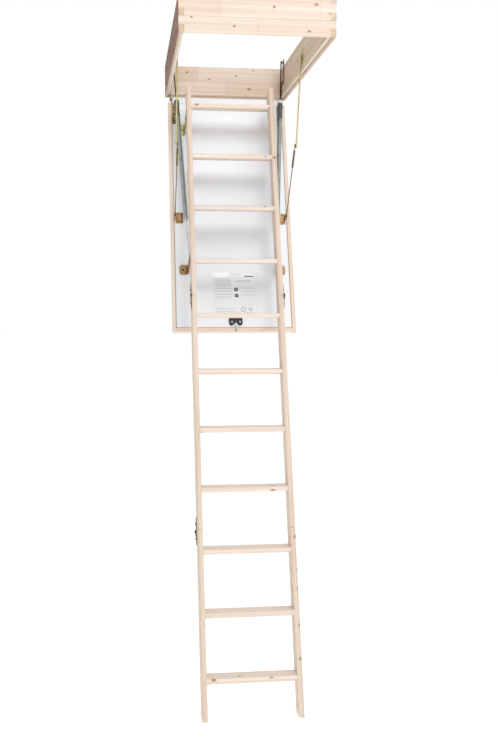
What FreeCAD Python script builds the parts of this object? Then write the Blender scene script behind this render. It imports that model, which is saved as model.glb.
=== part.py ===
import FreeCAD, Part

import math
import os

# Attic ladder: a ceiling frame, an insulated hatch lid and a three-section
# wooden ladder that folds onto the lid. Millimetres, +Z up, the ceiling frame's
# long side along Y, hinge end at +Y. The floor is z = 0.

V = FreeCAD.Vector
os.makedirs("parts", exist_ok=True)

# --- Overall sizes -----------------------------------------------------------
CEILING_HEIGHT = 2692.0      # floor to the underside of the frame
FRAME_LENGTH = 1240.0
FRAME_WIDTH = 600.0
FRAME_HEIGHT = 150.0
SLOPE_DEG = 70.8             # ladder and lid below the horizontal

# --- Ceiling frame -----------------------------------------------------------
BOARD = 22.0                 # board thickness
REBATE_WIDE = 12.0           # step the lid closes into
REBATE_HIGH = 14.0
FINGERS = 5                  # box joint fingers in a corner
SEAL_THICK = 1.8
SEAL_INSET = 0.5
SEAL_WIDE = 9.0
FIXING_HOLE_R = 3.0
FIXING_SPACING_Y = 900.0
FIXING_SPACING_Z = 76.0
FIXING_CENTRE_Z = 77.0       # above the frame's underside

# --- Lid, in slope coordinates: t down the slope, n off its inner face --------
HINGE_Y = FRAME_LENGTH / 2 - 45.0     # where the lid's face meets the ceiling plane
LID_WIDTH = FRAME_WIDTH - 23.0
LID_TOP = 6.5
LID_BOTTOM = FRAME_LENGTH - 30.0
LID_THICK = 30.0
EDGING = 17.0                # width of the solid edging
EDGING_PROUD = 2.0           # edging stands this far above the panel
SKIN = 3.0                   # panel thickness
TOP_RAIL_WIDE = 33.5
NOTCH_LENGTH = 27.5          # corner notches that clear the hinges
NOTCH_X = FRAME_WIDTH / 2 - 32.0
LID_PIVOT_T = 5.34
LID_PIVOT_N = -25.1

# --- Ladder ------------------------------------------------------------------
LADDER_WIDTH = 417.0
RAIL_THICK = 22.0
RAIL_DEEP = 80.0
RAIL_FRONT = 172.0           # front of the rails above the lid's face
RAIL_TOP = 43.7
RAIL_ROUND = 2.5
FIRST_TREAD = 156.7          # t of the first tread's underside on the rail front
TREAD_PITCH = 261.3
TREAD_THICK = 22.0
TREAD_DEEP = 76.0
TREAD_ROUND = 6.0
TREAD_HOUSING = 8.0          # depth of the housing in each rail
SECTION_TREADS = (4, 4, 3)
SPLIT_AFTER = 0.587          # splits sit this part of a pitch below a tread
SPLIT_GAP = 1.0
FOLD_OFFSET = 1.0            # fold axes stand this far off the rail face

# --- Fittings ----------------------------------------------------------------
PLATE = 2.5                  # pressed steel thickness
PIN_R = 3.95
BORE_R = 4.0
LEAF_LONG = 58.0
LEAF_DEEP = 30.0
EAR_R = 9.0
LEAF_GAP = 0.3
LEAF_BOLT_R = 6.0
LEAF_BOLT_AT = 32.0

LOWER_ANGLE_ABOVE = 211.0    # lower angle bracket above the first split
LOWER_ANGLE_LONG = 49.0
SPRING_FOOT_ABOVE = 194.0    # spring foot above the first split
SPRING_FOOT_N = 40.0
SPRING_FOOT_X = LADDER_WIDTH / 2 - 5.0
SPRING_HEAD = (FRAME_WIDTH / 2 - 35.0, HINGE_Y - 53.0, 165.0)    # x, y, height in the frame
SPRING_R = 14.0
SPRING_WALL = 2.5
SPRING_START = 225.0
SPRING_END = 842.0
SPRING_CAP = 12.0
SPRING_ROD_R = 3.0
SPRING_ROD_START = 700.0
SPRING_ROD_CLEAR = 0.05
WIRE_R = 1.6
HEAD_GAP = 0.7

STAY_TOP_Y = HINGE_Y - 584.0
STAY_TOP_Z = 74.5            # above the frame's underside
STAY_ELBOW_Y = HINGE_Y - 468.0
STAY_ELBOW_Z = -300.5
STAY_FOOT_T = 640.0
STAY_FOOT_N = 25.0
STAY_UPPER_X = FRAME_WIDTH / 2 - 27.8
STAY_LOWER_X = STAY_UPPER_X - 6.0
STAY_UPPER_D = 6.6
STAY_LOWER_D = 4.4
SLEEVE_D = 11.0
SLEEVE_START = 32.0
SLEEVE_END = 120.0

LATCH_X = 6.0
LATCH_T = LID_BOTTOM - 46.0
LATCH_HALF = 31.0            # half the width of the case
LATCH_HIGH = 34.0
LATCH_THICK = 11.0
BOLT_HALF = 8.0
BOLT_LOW = 1.0
BOLT_HIGH = 7.0
BOLT_CLEAR = 0.3
LABEL = (-96.0, 119.0, LATCH_T - 247.0, LATCH_T - 33.0)          # x and t limits
LABEL_THICK = 0.5

# --- Fitting details ---------------------------------------------------------
STRIKE_LOW = REBATE_HIGH + 0.5
STRIKE_HIGH = 52.0
STRIKE_HALF = 25.0
STRIKE_SLOT_HALF = 12.0
STRIKE_SLOT_LOW = REBATE_HIGH - 1
STRIKE_SLOT_HIGH = 26.0
STRIKE_SLOT_DEEP = 14.0
BRACKET_FRONT = 36.0
BRACKET_BACK = 1.0
BRACKET_LOW = REBATE_HIGH + 2
BRACKET_HIGH = 84.0
WASHER_R = 7.0
SCREW_R = 4.2
SCREW_HIGH = 1.8
STRAP_START = 42.0
STRAP_END = 150.0
STRAP_WIDE = 22.0
WEB_RISE = 3.0
ANGLE_HIGH = 148.0
SPRING_PIN_END = 199.0
SPRING_PIN_R = 3.0
JOGGLE_AT = 13.0
RIVET_HEAD_R = 6.5
HEAD_PLATE_HALF = 20.0
HEAD_PLATE_LOW = 62.0
HEAD_PLATE_HIGH = 178.0
HEAD_PIN_R = 4.0
EYE_R = 7.0
EYE_HALF = 2.5
WIRE_EYE_R = 6.0
WIRE_EYE_HALF = 1.6
TOP_PLATE_HALF_Y = 22.0
TOP_PLATE_HALF_Z = 30.0
STAY_EYE_R = 9.0
STAY_HEAD_R = 6.0
FOOT_EAR_R = 10.0
UPPER_ANGLE = (155.0, 213.0)
UPPER_ANGLE_FOOT = 31.0
LOWER_ANGLE_FOOT = 42.0
ANGLE_SCREWS_N = (20.0, 44.0)         # above the rail's back edge
TOP_PLATE_THICK = 2.1
UPPER_EYE_HALF = 2.2
FOOT_EAR_FLARE = 6.0
FOOT_SCREWS_X = (8.0, 26.0)           # from the plate's inner edge
FOOT_SCREWS_T = (10.0, 45.0)          # from the plate's upper edge
LEAF_SET_BACK = 4.0
LEAF_END_GAP = 2.0
ARM_DEEP = 16.0
LEAF_BOLT_HIGH = 3.5
RIVET_HEAD_HIGH = 2.4
LOBE_CORNER = 6.0
LOBE_INNER = 12.0
WAIST_HALF = BOLT_HALF + 3.0
WAIST_DROP = 4.0
BOLT_START = 14.0
BOLT_REACH = 3.0
BRACKET_SCREWS_Y = 18.0
BRACKET_SCREWS_Z = (38.0, 60.0, 82.0)
ANCHOR_SCREWS_Z = (80.0, 110.0, 136.0)
STRAP_SCREWS_T = (62.0, 98.0, 134.0)

# --- Derived -----------------------------------------------------------------
COS = math.cos(math.radians(SLOPE_DEG))
SIN = math.sin(math.radians(SLOPE_DEG))
HALF_W = FRAME_WIDTH / 2
HALF_L = FRAME_LENGTH / 2
INNER_X = HALF_W - BOARD
INNER_Y = HALF_L - BOARD
RAIL_OUT = LADDER_WIDTH / 2
RAIL_IN = RAIL_OUT - RAIL_THICK
RAIL_BACK = RAIL_FRONT - RAIL_DEEP
LID_HALF = LID_WIDTH / 2
PANEL_HALF = LID_HALF - EDGING - 0.3
PANEL_N = -EDGING_PROUD
PANEL_TOP = LID_TOP + TOP_RAIL_WIDE
PANEL_BOTTOM = LID_BOTTOM - EDGING
SPLIT_1 = FIRST_TREAD + (SECTION_TREADS[0] - 1 + SPLIT_AFTER) * TREAD_PITCH
SPLIT_2 = SPLIT_1 + SECTION_TREADS[1] * TREAD_PITCH

BOTTOM = CEILING_HEIGHT
TOP = CEILING_HEIGHT + FRAME_HEIGHT
EAR_X = NOTCH_X + 0.7
BRACKET_X = INNER_X - PLATE
TREAD_HALF = RAIL_IN + TREAD_HOUSING
LEAF_IN = RAIL_OUT
LEAF_OUT = RAIL_OUT + PLATE
JOGGLE_IN = LEAF_OUT + LEAF_GAP
JOGGLE_OUT = JOGGLE_IN + PLATE
FOLD_1_N = RAIL_FRONT + FOLD_OFFSET
FOLD_2_N = RAIL_BACK - FOLD_OFFSET
TOP_PLATE_X = INNER_X - TOP_PLATE_THICK
UPPER_EYE = (STAY_UPPER_X - UPPER_EYE_HALF, STAY_UPPER_X + UPPER_EYE_HALF)
LOWER_EYE = (STAY_LOWER_X - STAY_LOWER_D / 2, STAY_LOWER_X + STAY_LOWER_D / 2)
FOOT_PLATE = (HALF_W - 73.0, HALF_W - 36.6, STAY_FOOT_T - 22.0, STAY_FOOT_T + 33.0)
LOWER_ANGLE = SPLIT_1 - LOWER_ANGLE_ABOVE
SPRING_FOOT = (SPRING_FOOT_X, SPLIT_1 - SPRING_FOOT_ABOVE, SPRING_FOOT_N)

# --- Helpers -----------------------------------------------------------------
def box(x0, x1, y0, y1, z0, z1):
    """Box between limits in the row frame."""
    return Part.makeBox(x1 - x0, y1 - y0, z1 - z0, V(x0, y0, z0))


def slope_box(x0, x1, t0, t1, n0, n1):
    """Box between limits in slope coordinates."""
    return Part.makeBox(x1 - x0, t1 - t0, n1 - n0, V(x0, -t1, n0))


def slope_rod(r, x0, x1, t, n):
    """Cylinder across the ladder, in slope coordinates."""
    return Part.makeCylinder(r, x1 - x0, V(x0, -t, n), V(1, 0, 0))


def slope_plate(points, x0, x1):
    """Plate across x0 to x1 with a (t, n) outline."""
    corners = [V(x0, -t, n) for t, n in points]
    face = Part.Face(Part.makePolygon(corners + corners[:1]))
    return face.extrude(V(x1 - x0, 0, 0))


def cross_rod(r, x0, x1, y, z):
    """Cylinder along X in the row frame."""
    return Part.makeCylinder(r, x1 - x0, V(x0, y, z), V(1, 0, 0))


def rod_between(a, b, r, start, end):
    """Cylinder on the line a to b, from one distance from a to another."""
    along = (b - a).normalize()
    return Part.makeCylinder(r, end - start, a + along * start, along)


def link_between(a, b, half, x0, x1, start, end):
    """Flat bar on the line a to b in a plane of constant x."""
    along = (b - a).normalize()
    side = V(1, 0, 0).cross(along) * half
    p = a + along * start
    q = a + along * end
    corners = [V(x0, c.y, c.z) for c in (p - side, q - side, q + side, p + side)]
    face = Part.Face(Part.makePolygon(corners + corners[:1]))
    return face.extrude(V(x1 - x0, 0, 0))


def on_slope(shape):
    """Place a shape drawn in slope coordinates into the row frame."""
    turned = shape.copy()
    turned.rotate(V(0, 0, 0), V(1, 0, 0), SLOPE_DEG)
    turned.translate(V(0, HINGE_Y, CEILING_HEIGHT))
    return turned


def slope_point(x, t, n):
    """Row position of a point given in slope coordinates."""
    y = HINGE_Y - t * COS - n * SIN
    z = CEILING_HEIGHT - t * SIN + n * COS
    return V(x, y, z)


def mirrored(shape):
    """Left-hand copy of a right-hand shape."""
    return shape.mirror(V(0, 0, 0), V(1, 0, 0))


def fuse(shapes):
    """One solid from overlapping or touching shapes."""
    return shapes[0].multiFuse(shapes[1:]).removeSplitter()


def pair(shape):
    """Right-hand shape and its left-hand copy as one piece list."""
    return Part.makeCompound([shape, mirrored(shape)])


def save(name, shape):
    """Write one piece."""
    shape.exportStep("parts/" + name + ".step")


def save_sides(name, shape):
    """Write a right-hand piece and its left-hand copy."""
    save(name + "_right", shape)
    save(name + "_left", mirrored(shape))


# --- Ceiling frame -----------------------------------------------------------


def rebate():
    """Space the lid closes into."""
    x = INNER_X + REBATE_WIDE
    y = INNER_Y + REBATE_WIDE
    return box(-x, x, -y, y, BOTTOM - 1, BOTTOM + REBATE_HIGH)


def corner_fingers(first):
    """Alternate box joint fingers of all four corners."""
    high = FRAME_HEIGHT / FINGERS
    blocks = []
    for k in range(first, FINGERS, 2):
        z = BOTTOM + k * high
        for x in (-HALF_W, INNER_X):
            for y in (-HALF_L, INNER_Y):
                blocks.append(box(x, x + BOARD, y, y + BOARD, z, z + high))
    return Part.makeCompound(blocks)


def side_board():
    """Right-hand long board with fixing holes."""
    board = box(INNER_X, HALF_W, -HALF_L, HALF_L, BOTTOM, TOP)
    board = board.cut(corner_fingers(1)).cut(rebate())
    for y in (-FIXING_SPACING_Y / 2, FIXING_SPACING_Y / 2):
        for dz in (-FIXING_SPACING_Z / 2, FIXING_SPACING_Z / 2):
            z = BOTTOM + FIXING_CENTRE_Z + dz
            board = board.cut(cross_rod(FIXING_HOLE_R, INNER_X - 1, HALF_W + 1, y, z))
    return board


def end_board(y0):
    """Short board between the long ones."""
    board = box(-HALF_W, HALF_W, y0, y0 + BOARD, BOTTOM, TOP)
    return board.cut(corner_fingers(0)).cut(rebate())


def strike_slot():
    """Pocket in the latch-end board that the bolt enters."""
    return box(LATCH_X - STRIKE_SLOT_HALF, LATCH_X + STRIKE_SLOT_HALF,
               -INNER_Y - STRIKE_SLOT_DEEP, -INNER_Y + 3,
               BOTTOM + STRIKE_SLOT_LOW, BOTTOM + STRIKE_SLOT_HIGH)


save_sides("side_board", side_board())
save("hinge_end_board", end_board(INNER_Y))
save("latch_end_board", end_board(-HALF_L).cut(strike_slot()))

seal_x = INNER_X + REBATE_WIDE - SEAL_INSET
seal_y = INNER_Y + REBATE_WIDE - SEAL_INSET
seal_z = BOTTOM + REBATE_HIGH - SEAL_THICK
seal = box(-seal_x, seal_x, -seal_y, seal_y, seal_z, seal_z + SEAL_THICK)
seal = seal.cut(box(-seal_x + SEAL_WIDE, seal_x - SEAL_WIDE,
                    -seal_y + SEAL_WIDE, seal_y - SEAL_WIDE,
                    seal_z - 1, seal_z + SEAL_THICK + 1))
seal = seal.cut(box(LATCH_X - STRIKE_SLOT_HALF, LATCH_X + STRIKE_SLOT_HALF,
                    -seal_y - 1, -seal_y + SEAL_WIDE + 1,
                    seal_z - 1, seal_z + SEAL_THICK + 1))
save("seal_strip", seal)

strike = box(LATCH_X - STRIKE_HALF, LATCH_X + STRIKE_HALF,
             -INNER_Y, -INNER_Y + PLATE, BOTTOM + STRIKE_LOW, BOTTOM + STRIKE_HIGH)
save("strike_plate", strike.cut(strike_slot()))

# --- Lid hinges --------------------------------------------------------------
pivot = slope_point(0, LID_PIVOT_T, LID_PIVOT_N)

plate = box(BRACKET_X, INNER_X, pivot.y - BRACKET_FRONT, INNER_Y - BRACKET_BACK,
            BOTTOM + BRACKET_LOW, BOTTOM + BRACKET_HIGH)
tongue = box(BRACKET_X, INNER_X, pivot.y - EAR_R, INNER_Y - BRACKET_BACK,
             pivot.z, BOTTOM + BRACKET_LOW)
ear = cross_rod(EAR_R, BRACKET_X, INNER_X, pivot.y, pivot.z)
bracket = fuse([plate, tongue, ear])
bracket = fuse([bracket,
                cross_rod(PIN_R, NOTCH_X + 0.3, BRACKET_X, pivot.y, pivot.z),
                cross_rod(WASHER_R, EAR_X + PLATE + 0.4, BRACKET_X, pivot.y, pivot.z)])
save("hinge_brackets", pair(bracket))

strap_out = EAR_X + PLATE
strap = slope_box(strap_out - STRAP_WIDE, strap_out, STRAP_START, STRAP_END,
                  PANEL_N, PANEL_N + WEB_RISE)
web_outline = [(STRAP_START + 4, PANEL_N), (STRAP_START + 4, WEB_RISE), (10, WEB_RISE),
               (LID_PIVOT_T - EAR_R + 1, LID_PIVOT_N + 8), (LID_PIVOT_T - EAR_R, LID_PIVOT_N),
               (LID_PIVOT_T + EAR_R, LID_PIVOT_N), (33, LID_PIVOT_N + 12), (33, 0.1),
               (STRAP_START, 0.1), (STRAP_START, PANEL_N)]
web = slope_plate(web_outline, EAR_X, strap_out)
ear = slope_rod(EAR_R, EAR_X, strap_out, LID_PIVOT_T, LID_PIVOT_N)
strap = fuse([strap, web, ear])
strap = strap.cut(slope_rod(BORE_R, EAR_X - 1, strap_out + 1, LID_PIVOT_T, LID_PIVOT_N))
save("hinge_straps", on_slope(pair(strap)))

# --- Lid ---------------------------------------------------------------------
stile = slope_box(LID_HALF - EDGING, LID_HALF, LID_TOP + NOTCH_LENGTH, LID_BOTTOM,
                  -LID_THICK, 0)
save_sides("lid_stile", on_slope(stile))
top_rail = slope_box(-PANEL_HALF, PANEL_HALF, LID_TOP, PANEL_TOP - 0.3, -LID_THICK, 0)
for x0, x1 in ((NOTCH_X, LID_HALF), (-LID_HALF, -NOTCH_X)):
    top_rail = top_rail.cut(slope_box(x0, x1, LID_TOP - 1, LID_TOP + NOTCH_LENGTH,
                                      -LID_THICK - 1, 1))
save("lid_top_rail", on_slope(top_rail))
save("lid_bottom_rail", on_slope(slope_box(-PANEL_HALF, PANEL_HALF, PANEL_BOTTOM + 0.3,
                                           LID_BOTTOM, -LID_THICK, 0)))
core_low = -LID_THICK + SKIN
save("lid_inner_panel", on_slope(slope_box(-PANEL_HALF, PANEL_HALF, PANEL_TOP, PANEL_BOTTOM,
                                           PANEL_N - SKIN, PANEL_N)))
save("lid_insulation", on_slope(slope_box(-PANEL_HALF, PANEL_HALF, PANEL_TOP, PANEL_BOTTOM,
                                          core_low, PANEL_N - SKIN)))
save("lid_outer_panel", on_slope(slope_box(-PANEL_HALF, PANEL_HALF, PANEL_TOP, PANEL_BOTTOM,
                                           -LID_THICK, core_low)))
label = slope_box(LABEL[0], LABEL[1], LABEL[2], LABEL[3], PANEL_N, PANEL_N + LABEL_THICK)
save("instruction_label", on_slope(label))

# --- Brackets that hold the top section to the lid ----------------------------
angles = []
for t0, t1, foot in ((*UPPER_ANGLE, UPPER_ANGLE_FOOT),
                     (LOWER_ANGLE, LOWER_ANGLE + LOWER_ANGLE_LONG, LOWER_ANGLE_FOOT)):
    leg = slope_box(RAIL_OUT, RAIL_OUT + PLATE, t0, t1, PANEL_N, ANGLE_HIGH)
    base = slope_box(RAIL_OUT, RAIL_OUT + foot, t0, t1, PANEL_N, PANEL_N + PLATE)
    centre = (t0 + t1) / 2
    screw = Part.makeCylinder(SCREW_R, SCREW_HIGH + PLATE,
                              V(RAIL_OUT + foot * 0.6, -centre, PANEL_N), V(0, 0, 1))
    heads = [slope_rod(SCREW_R, RAIL_OUT, RAIL_OUT + PLATE + SCREW_HIGH, centre, n)
             for n in [RAIL_BACK + rise for rise in ANGLE_SCREWS_N]]
    angles.append(fuse([leg, base, screw] + heads))
upper_angle, lower_angle = angles
spring_pin = slope_rod(SPRING_PIN_R, SPRING_PIN_END, RAIL_OUT, SPRING_FOOT[1], SPRING_FOOT[2])
lower_angle = fuse([lower_angle, spring_pin])
save("upper_ladder_brackets", on_slope(pair(upper_angle)))
save("lower_ladder_brackets", on_slope(pair(lower_angle)))

# --- Ladder sections ---------------------------------------------------------
def tread_block(number, half):
    """Level tread whose front top edge is flush with the rail front."""
    t = FIRST_TREAD + number * TREAD_PITCH
    z = slope_point(0, t, RAIL_FRONT).z
    top = z + TREAD_THICK
    drop = (CEILING_HEIGHT - top + RAIL_FRONT * COS) / SIN
    y = slope_point(0, drop, RAIL_FRONT).y
    blank = box(-half, half, y, y + TREAD_DEEP, z, top)
    long_edges = [e for e in blank.Edges if e.Length > 2 * half - 1]
    return blank.makeFillet(TREAD_ROUND, long_edges)


HOUSINGS = Part.makeCompound([tread_block(k, TREAD_HALF) for k in range(sum(SECTION_TREADS))])


def rail(t0, t1):
    """Right-hand rail with its tread housings."""
    blank = slope_box(RAIL_IN, RAIL_OUT, t0, t1, RAIL_BACK, RAIL_FRONT)
    long_edges = [e for e in blank.Edges if e.Length > (t1 - t0) - 1]
    blank = blank.makeFillet(RAIL_ROUND, long_edges)
    return on_slope(blank).cut(HOUSINGS)


foot_t = (CEILING_HEIGHT + RAIL_FRONT * COS) / SIN
below_floor = box(-HALF_W, HALF_W, -CEILING_HEIGHT, CEILING_HEIGHT, -CEILING_HEIGHT, 0)
spans = ((RAIL_TOP, SPLIT_1 - SPLIT_GAP / 2),
         (SPLIT_1 + SPLIT_GAP / 2, SPLIT_2 - SPLIT_GAP / 2),
         (SPLIT_2 + SPLIT_GAP / 2, foot_t + RAIL_DEEP))
for number, (t0, t1) in enumerate(spans, 1):
    save_sides("section_%d_rail" % number, rail(t0, t1).cut(below_floor))
for k in range(sum(SECTION_TREADS)):
    save("tread_%02d" % (k + 1), tread_block(k, TREAD_HALF))

# --- Fold hinges on the rails' outer faces -------------------------------------


def leaf(split, axis_n, inward, down, outer):
    """Hinge leaf; the outer leaf steps out to pass over its partner's ear."""
    low, high = sorted((axis_n + inward * LEAF_SET_BACK,
                        axis_n + inward * (LEAF_SET_BACK + LEAF_DEEP)))
    near = JOGGLE_AT if outer else LEAF_END_GAP
    arm_far = JOGGLE_AT + PLATE + LEAF_SET_BACK if outer else JOGGLE_AT
    ear_in, ear_out = (JOGGLE_IN, JOGGLE_OUT) if outer else (LEAF_IN, LEAF_OUT)
    flat = sorted((split + down * near, split + down * LEAF_LONG))
    arm = sorted((split + down * arm_far, split))
    arm_low, arm_high = sorted((axis_n, axis_n + inward * ARM_DEEP))
    bolt_t = split + down * LEAF_BOLT_AT
    pieces = [slope_box(LEAF_IN, LEAF_OUT, *flat, low, high),
              slope_rod(EAR_R, ear_in, ear_out, split, axis_n),
              slope_box(ear_in, ear_out, *arm, arm_low, arm_high),
              slope_rod(LEAF_BOLT_R, LEAF_IN, LEAF_OUT + LEAF_BOLT_HIGH, bolt_t,
                        (low + high) / 2)]
    if outer:
        step = sorted((split + down * JOGGLE_AT, split + down * arm_far))
        step_high = arm_high if inward > 0 else high
        pieces.append(slope_box(LEAF_IN, JOGGLE_OUT, *step, low, step_high))
        bore = slope_rod(BORE_R, LEAF_IN, JOGGLE_OUT + 1, split, axis_n)
        return fuse(pieces).cut(bore)
    rivet = slope_rod(PIN_R, LEAF_IN, JOGGLE_OUT + 0.5, split, axis_n)
    head = slope_rod(RIVET_HEAD_R, JOGGLE_OUT + 0.4, JOGGLE_OUT + RIVET_HEAD_HIGH,
                     split, axis_n)
    return fuse(pieces + [rivet, head])


save("section_1_lower_leaves", on_slope(pair(leaf(SPLIT_1, FOLD_1_N, -1, -1, False))))
save("section_2_upper_leaves", on_slope(pair(leaf(SPLIT_1, FOLD_1_N, -1, 1, True))))
save("section_2_lower_leaves", on_slope(pair(leaf(SPLIT_2, FOLD_2_N, 1, -1, False))))
save("section_3_upper_leaves", on_slope(pair(leaf(SPLIT_2, FOLD_2_N, 1, 1, True))))

# --- Springs -----------------------------------------------------------------

head = V(SPRING_HEAD[0], SPRING_HEAD[1], CEILING_HEIGHT + SPRING_HEAD[2])
foot = slope_point(*SPRING_FOOT)
reach = (head - foot).Length

anchor = box(BRACKET_X, INNER_X, head.y - HEAD_PLATE_HALF, head.y + HEAD_PLATE_HALF,
             BOTTOM + HEAD_PLATE_LOW, BOTTOM + HEAD_PLATE_HIGH)
pin = cross_rod(HEAD_PIN_R, head.x + EYE_HALF + HEAD_GAP, BRACKET_X, head.y, head.z)
save("spring_anchors", pair(fuse([anchor, pin])))

bore = SPRING_R - SPRING_WALL
coil = rod_between(foot, head, SPRING_R, SPRING_START, SPRING_END)
coil = coil.cut(rod_between(foot, head, bore, SPRING_START - 1, SPRING_END - SPRING_CAP))
coil = coil.cut(rod_between(foot, head, SPRING_ROD_R + SPRING_ROD_CLEAR,
                            SPRING_START, SPRING_END + 1))
save_sides("spring_coil", coil)

eye = cross_rod(WIRE_EYE_R, foot.x - WIRE_EYE_HALF, foot.x + WIRE_EYE_HALF, foot.y, foot.z)
eye_bore = cross_rod(SPRING_PIN_R + SPRING_ROD_CLEAR, foot.x - EYE_R, foot.x + EYE_R,
                     foot.y, foot.z)
wire = fuse([eye, rod_between(foot, head, WIRE_R, WIRE_EYE_R - 1.5, SPRING_START + 1),
             rod_between(foot, head, bore, SPRING_START, SPRING_START + SPRING_CAP)])
save_sides("spring_wire", wire.cut(eye_bore))

rod = rod_between(foot, head, SPRING_ROD_R, SPRING_ROD_START, reach - 2)
eye = cross_rod(EYE_R, head.x - EYE_HALF, head.x + EYE_HALF, head.y, head.z)
save_sides("spring_rod", fuse([rod, eye]))

# --- Folding stays -----------------------------------------------------------
stay_top = V(0, STAY_TOP_Y, CEILING_HEIGHT + STAY_TOP_Z)
elbow = V(0, STAY_ELBOW_Y, CEILING_HEIGHT + STAY_ELBOW_Z)
stay_foot = slope_point(0, STAY_FOOT_T, STAY_FOOT_N)


def shifted(point, x):
    """Same point in a plane of constant x."""
    return V(x, point.y, point.z)


top_plate = box(TOP_PLATE_X, INNER_X, stay_top.y - TOP_PLATE_HALF_Y,
                stay_top.y + TOP_PLATE_HALF_Y, stay_top.z - TOP_PLATE_HALF_Z,
                stay_top.z + TOP_PLATE_HALF_Z)
save("stay_pivot_plates", pair(top_plate))

upper_axis = (shifted(stay_top, STAY_UPPER_X), shifted(elbow, STAY_UPPER_X))
upper_reach = (upper_axis[1] - upper_axis[0]).Length
upper = fuse([cross_rod(STAY_EYE_R, *UPPER_EYE, stay_top.y, stay_top.z),
              cross_rod(STAY_EYE_R, *UPPER_EYE, elbow.y, elbow.z),
              rod_between(*upper_axis, STAY_UPPER_D / 2, 6, upper_reach - 6),
              cross_rod(STAY_HEAD_R, UPPER_EYE[0] - 2.4, UPPER_EYE[0] + 0.5,
                        stay_top.y, stay_top.z)])
elbow_bore = cross_rod(BORE_R, UPPER_EYE[0] - 3, UPPER_EYE[1] + 3, elbow.y, elbow.z)
save_sides("stay_upper", upper.cut(elbow_bore))

lower_axis = (shifted(elbow, STAY_LOWER_X), shifted(stay_foot, STAY_LOWER_X))
lower_reach = (lower_axis[1] - lower_axis[0]).Length
lower = fuse([cross_rod(STAY_EYE_R, *LOWER_EYE, elbow.y, elbow.z),
              cross_rod(STAY_EYE_R, *LOWER_EYE, stay_foot.y, stay_foot.z),
              rod_between(*lower_axis, STAY_LOWER_D / 2, 4, lower_reach - 4),
              rod_between(*lower_axis, SLEEVE_D / 2, SLEEVE_START, SLEEVE_END),
              cross_rod(PIN_R, LOWER_EYE[1] - 1, UPPER_EYE[1] + 0.8, elbow.y, elbow.z),
              cross_rod(STAY_HEAD_R, UPPER_EYE[1] + 0.4, UPPER_EYE[1] + 1.6,
                        elbow.y, elbow.z)])
foot_bore = cross_rod(BORE_R, LOWER_EYE[0] - 3, LOWER_EYE[1] + 3, stay_foot.y, stay_foot.z)
save_sides("stay_lower", lower.cut(foot_bore))

foot_in = FOOT_PLATE[1] - PLATE
foot_base = slope_box(*FOOT_PLATE, PANEL_N, PANEL_N + PLATE)
foot_ear = slope_plate([(STAY_FOOT_T - FOOT_EAR_R - FOOT_EAR_FLARE, PANEL_N),
                        (STAY_FOOT_T - FOOT_EAR_R, STAY_FOOT_N),
                        (STAY_FOOT_T + FOOT_EAR_R, STAY_FOOT_N),
                        (STAY_FOOT_T + FOOT_EAR_R + FOOT_EAR_FLARE, PANEL_N)], foot_in, FOOT_PLATE[1])
foot_tip = slope_rod(FOOT_EAR_R, foot_in, FOOT_PLATE[1], STAY_FOOT_T, STAY_FOOT_N)
foot_screws = [Part.makeCylinder(SCREW_R, PLATE + SCREW_HIGH,
                                 V(FOOT_PLATE[0] + x, -FOOT_PLATE[2] - t, PANEL_N), V(0, 0, 1))
               for x in FOOT_SCREWS_X for t in FOOT_SCREWS_T]
foot_pin = slope_rod(PIN_R, FOOT_PLATE[1] - 1, LOWER_EYE[1] + 1, STAY_FOOT_T, STAY_FOOT_N)
foot_nut = slope_rod(STAY_HEAD_R, LOWER_EYE[1] + 0.5, LOWER_EYE[1] + 3, STAY_FOOT_T,
                     STAY_FOOT_N)
save("stay_brackets", on_slope(pair(fuse([foot_base, foot_ear, foot_tip, foot_pin, foot_nut]
                                         + foot_screws))))

# --- Latch -------------------------------------------------------------------
case_low = LATCH_T + LATCH_HIGH / 2
case_high = LATCH_T - LATCH_HIGH / 2
waist = LATCH_T + WAIST_DROP
right = [(LATCH_HALF, case_high), (LATCH_HALF, case_low - LOBE_CORNER),
         (LATCH_HALF - LOBE_CORNER, case_low), (LOBE_INNER, case_low), (WAIST_HALF, waist),
         (WAIST_HALF, case_low)]
outline = right + [(-x, t) for x, t in reversed(right)]
corners = [V(LATCH_X + x, -t, PANEL_N) for x, t in outline]
case = Part.Face(Part.makePolygon(corners + corners[:1])).extrude(V(0, 0, LATCH_THICK))
channel = slope_box(LATCH_X - BOLT_HALF - BOLT_CLEAR, LATCH_X + BOLT_HALF + BOLT_CLEAR,
                    case_high + 4, LID_BOTTOM, BOLT_LOW - BOLT_CLEAR, BOLT_HIGH + BOLT_CLEAR)
save("latch_case", on_slope(case.cut(channel)))
bolt = slope_box(LATCH_X - BOLT_HALF, LATCH_X + BOLT_HALF, case_high + BOLT_START,
                 LID_BOTTOM + BOLT_REACH, BOLT_LOW, BOLT_HIGH)
save("latch_bolt", on_slope(bolt))

# --- Screws that hold the frame fittings ---------------------------------------
screws = []
for dz in BRACKET_SCREWS_Z:
    screws.append((pivot.y - BRACKET_SCREWS_Y, BOTTOM + dz))
for dz in ANCHOR_SCREWS_Z:
    screws.append((head.y, BOTTOM + dz))
heads = [cross_rod(SCREW_R, BRACKET_X - SCREW_HIGH, BRACKET_X, y, z) for y, z in screws]
save("frame_screws", Part.makeCompound(heads + [mirrored(h) for h in heads]))

strap_screws = [Part.makeCylinder(SCREW_R, SCREW_HIGH, V(strap_out - STRAP_WIDE / 2, -t,
                                                         PANEL_N + WEB_RISE), V(0, 0, 1))
                for t in STRAP_SCREWS_T]
strap_screws += [mirrored(s) for s in strap_screws]
save("strap_screws", on_slope(Part.makeCompound(strap_screws)))
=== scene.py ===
"""Looks of a three-section wooden attic ladder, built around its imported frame."""

import logging
import math
from dataclasses import dataclass, field
from enum import Enum

import bmesh
import bpy
import numpy as np
from mathutils import Matrix, Vector

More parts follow.
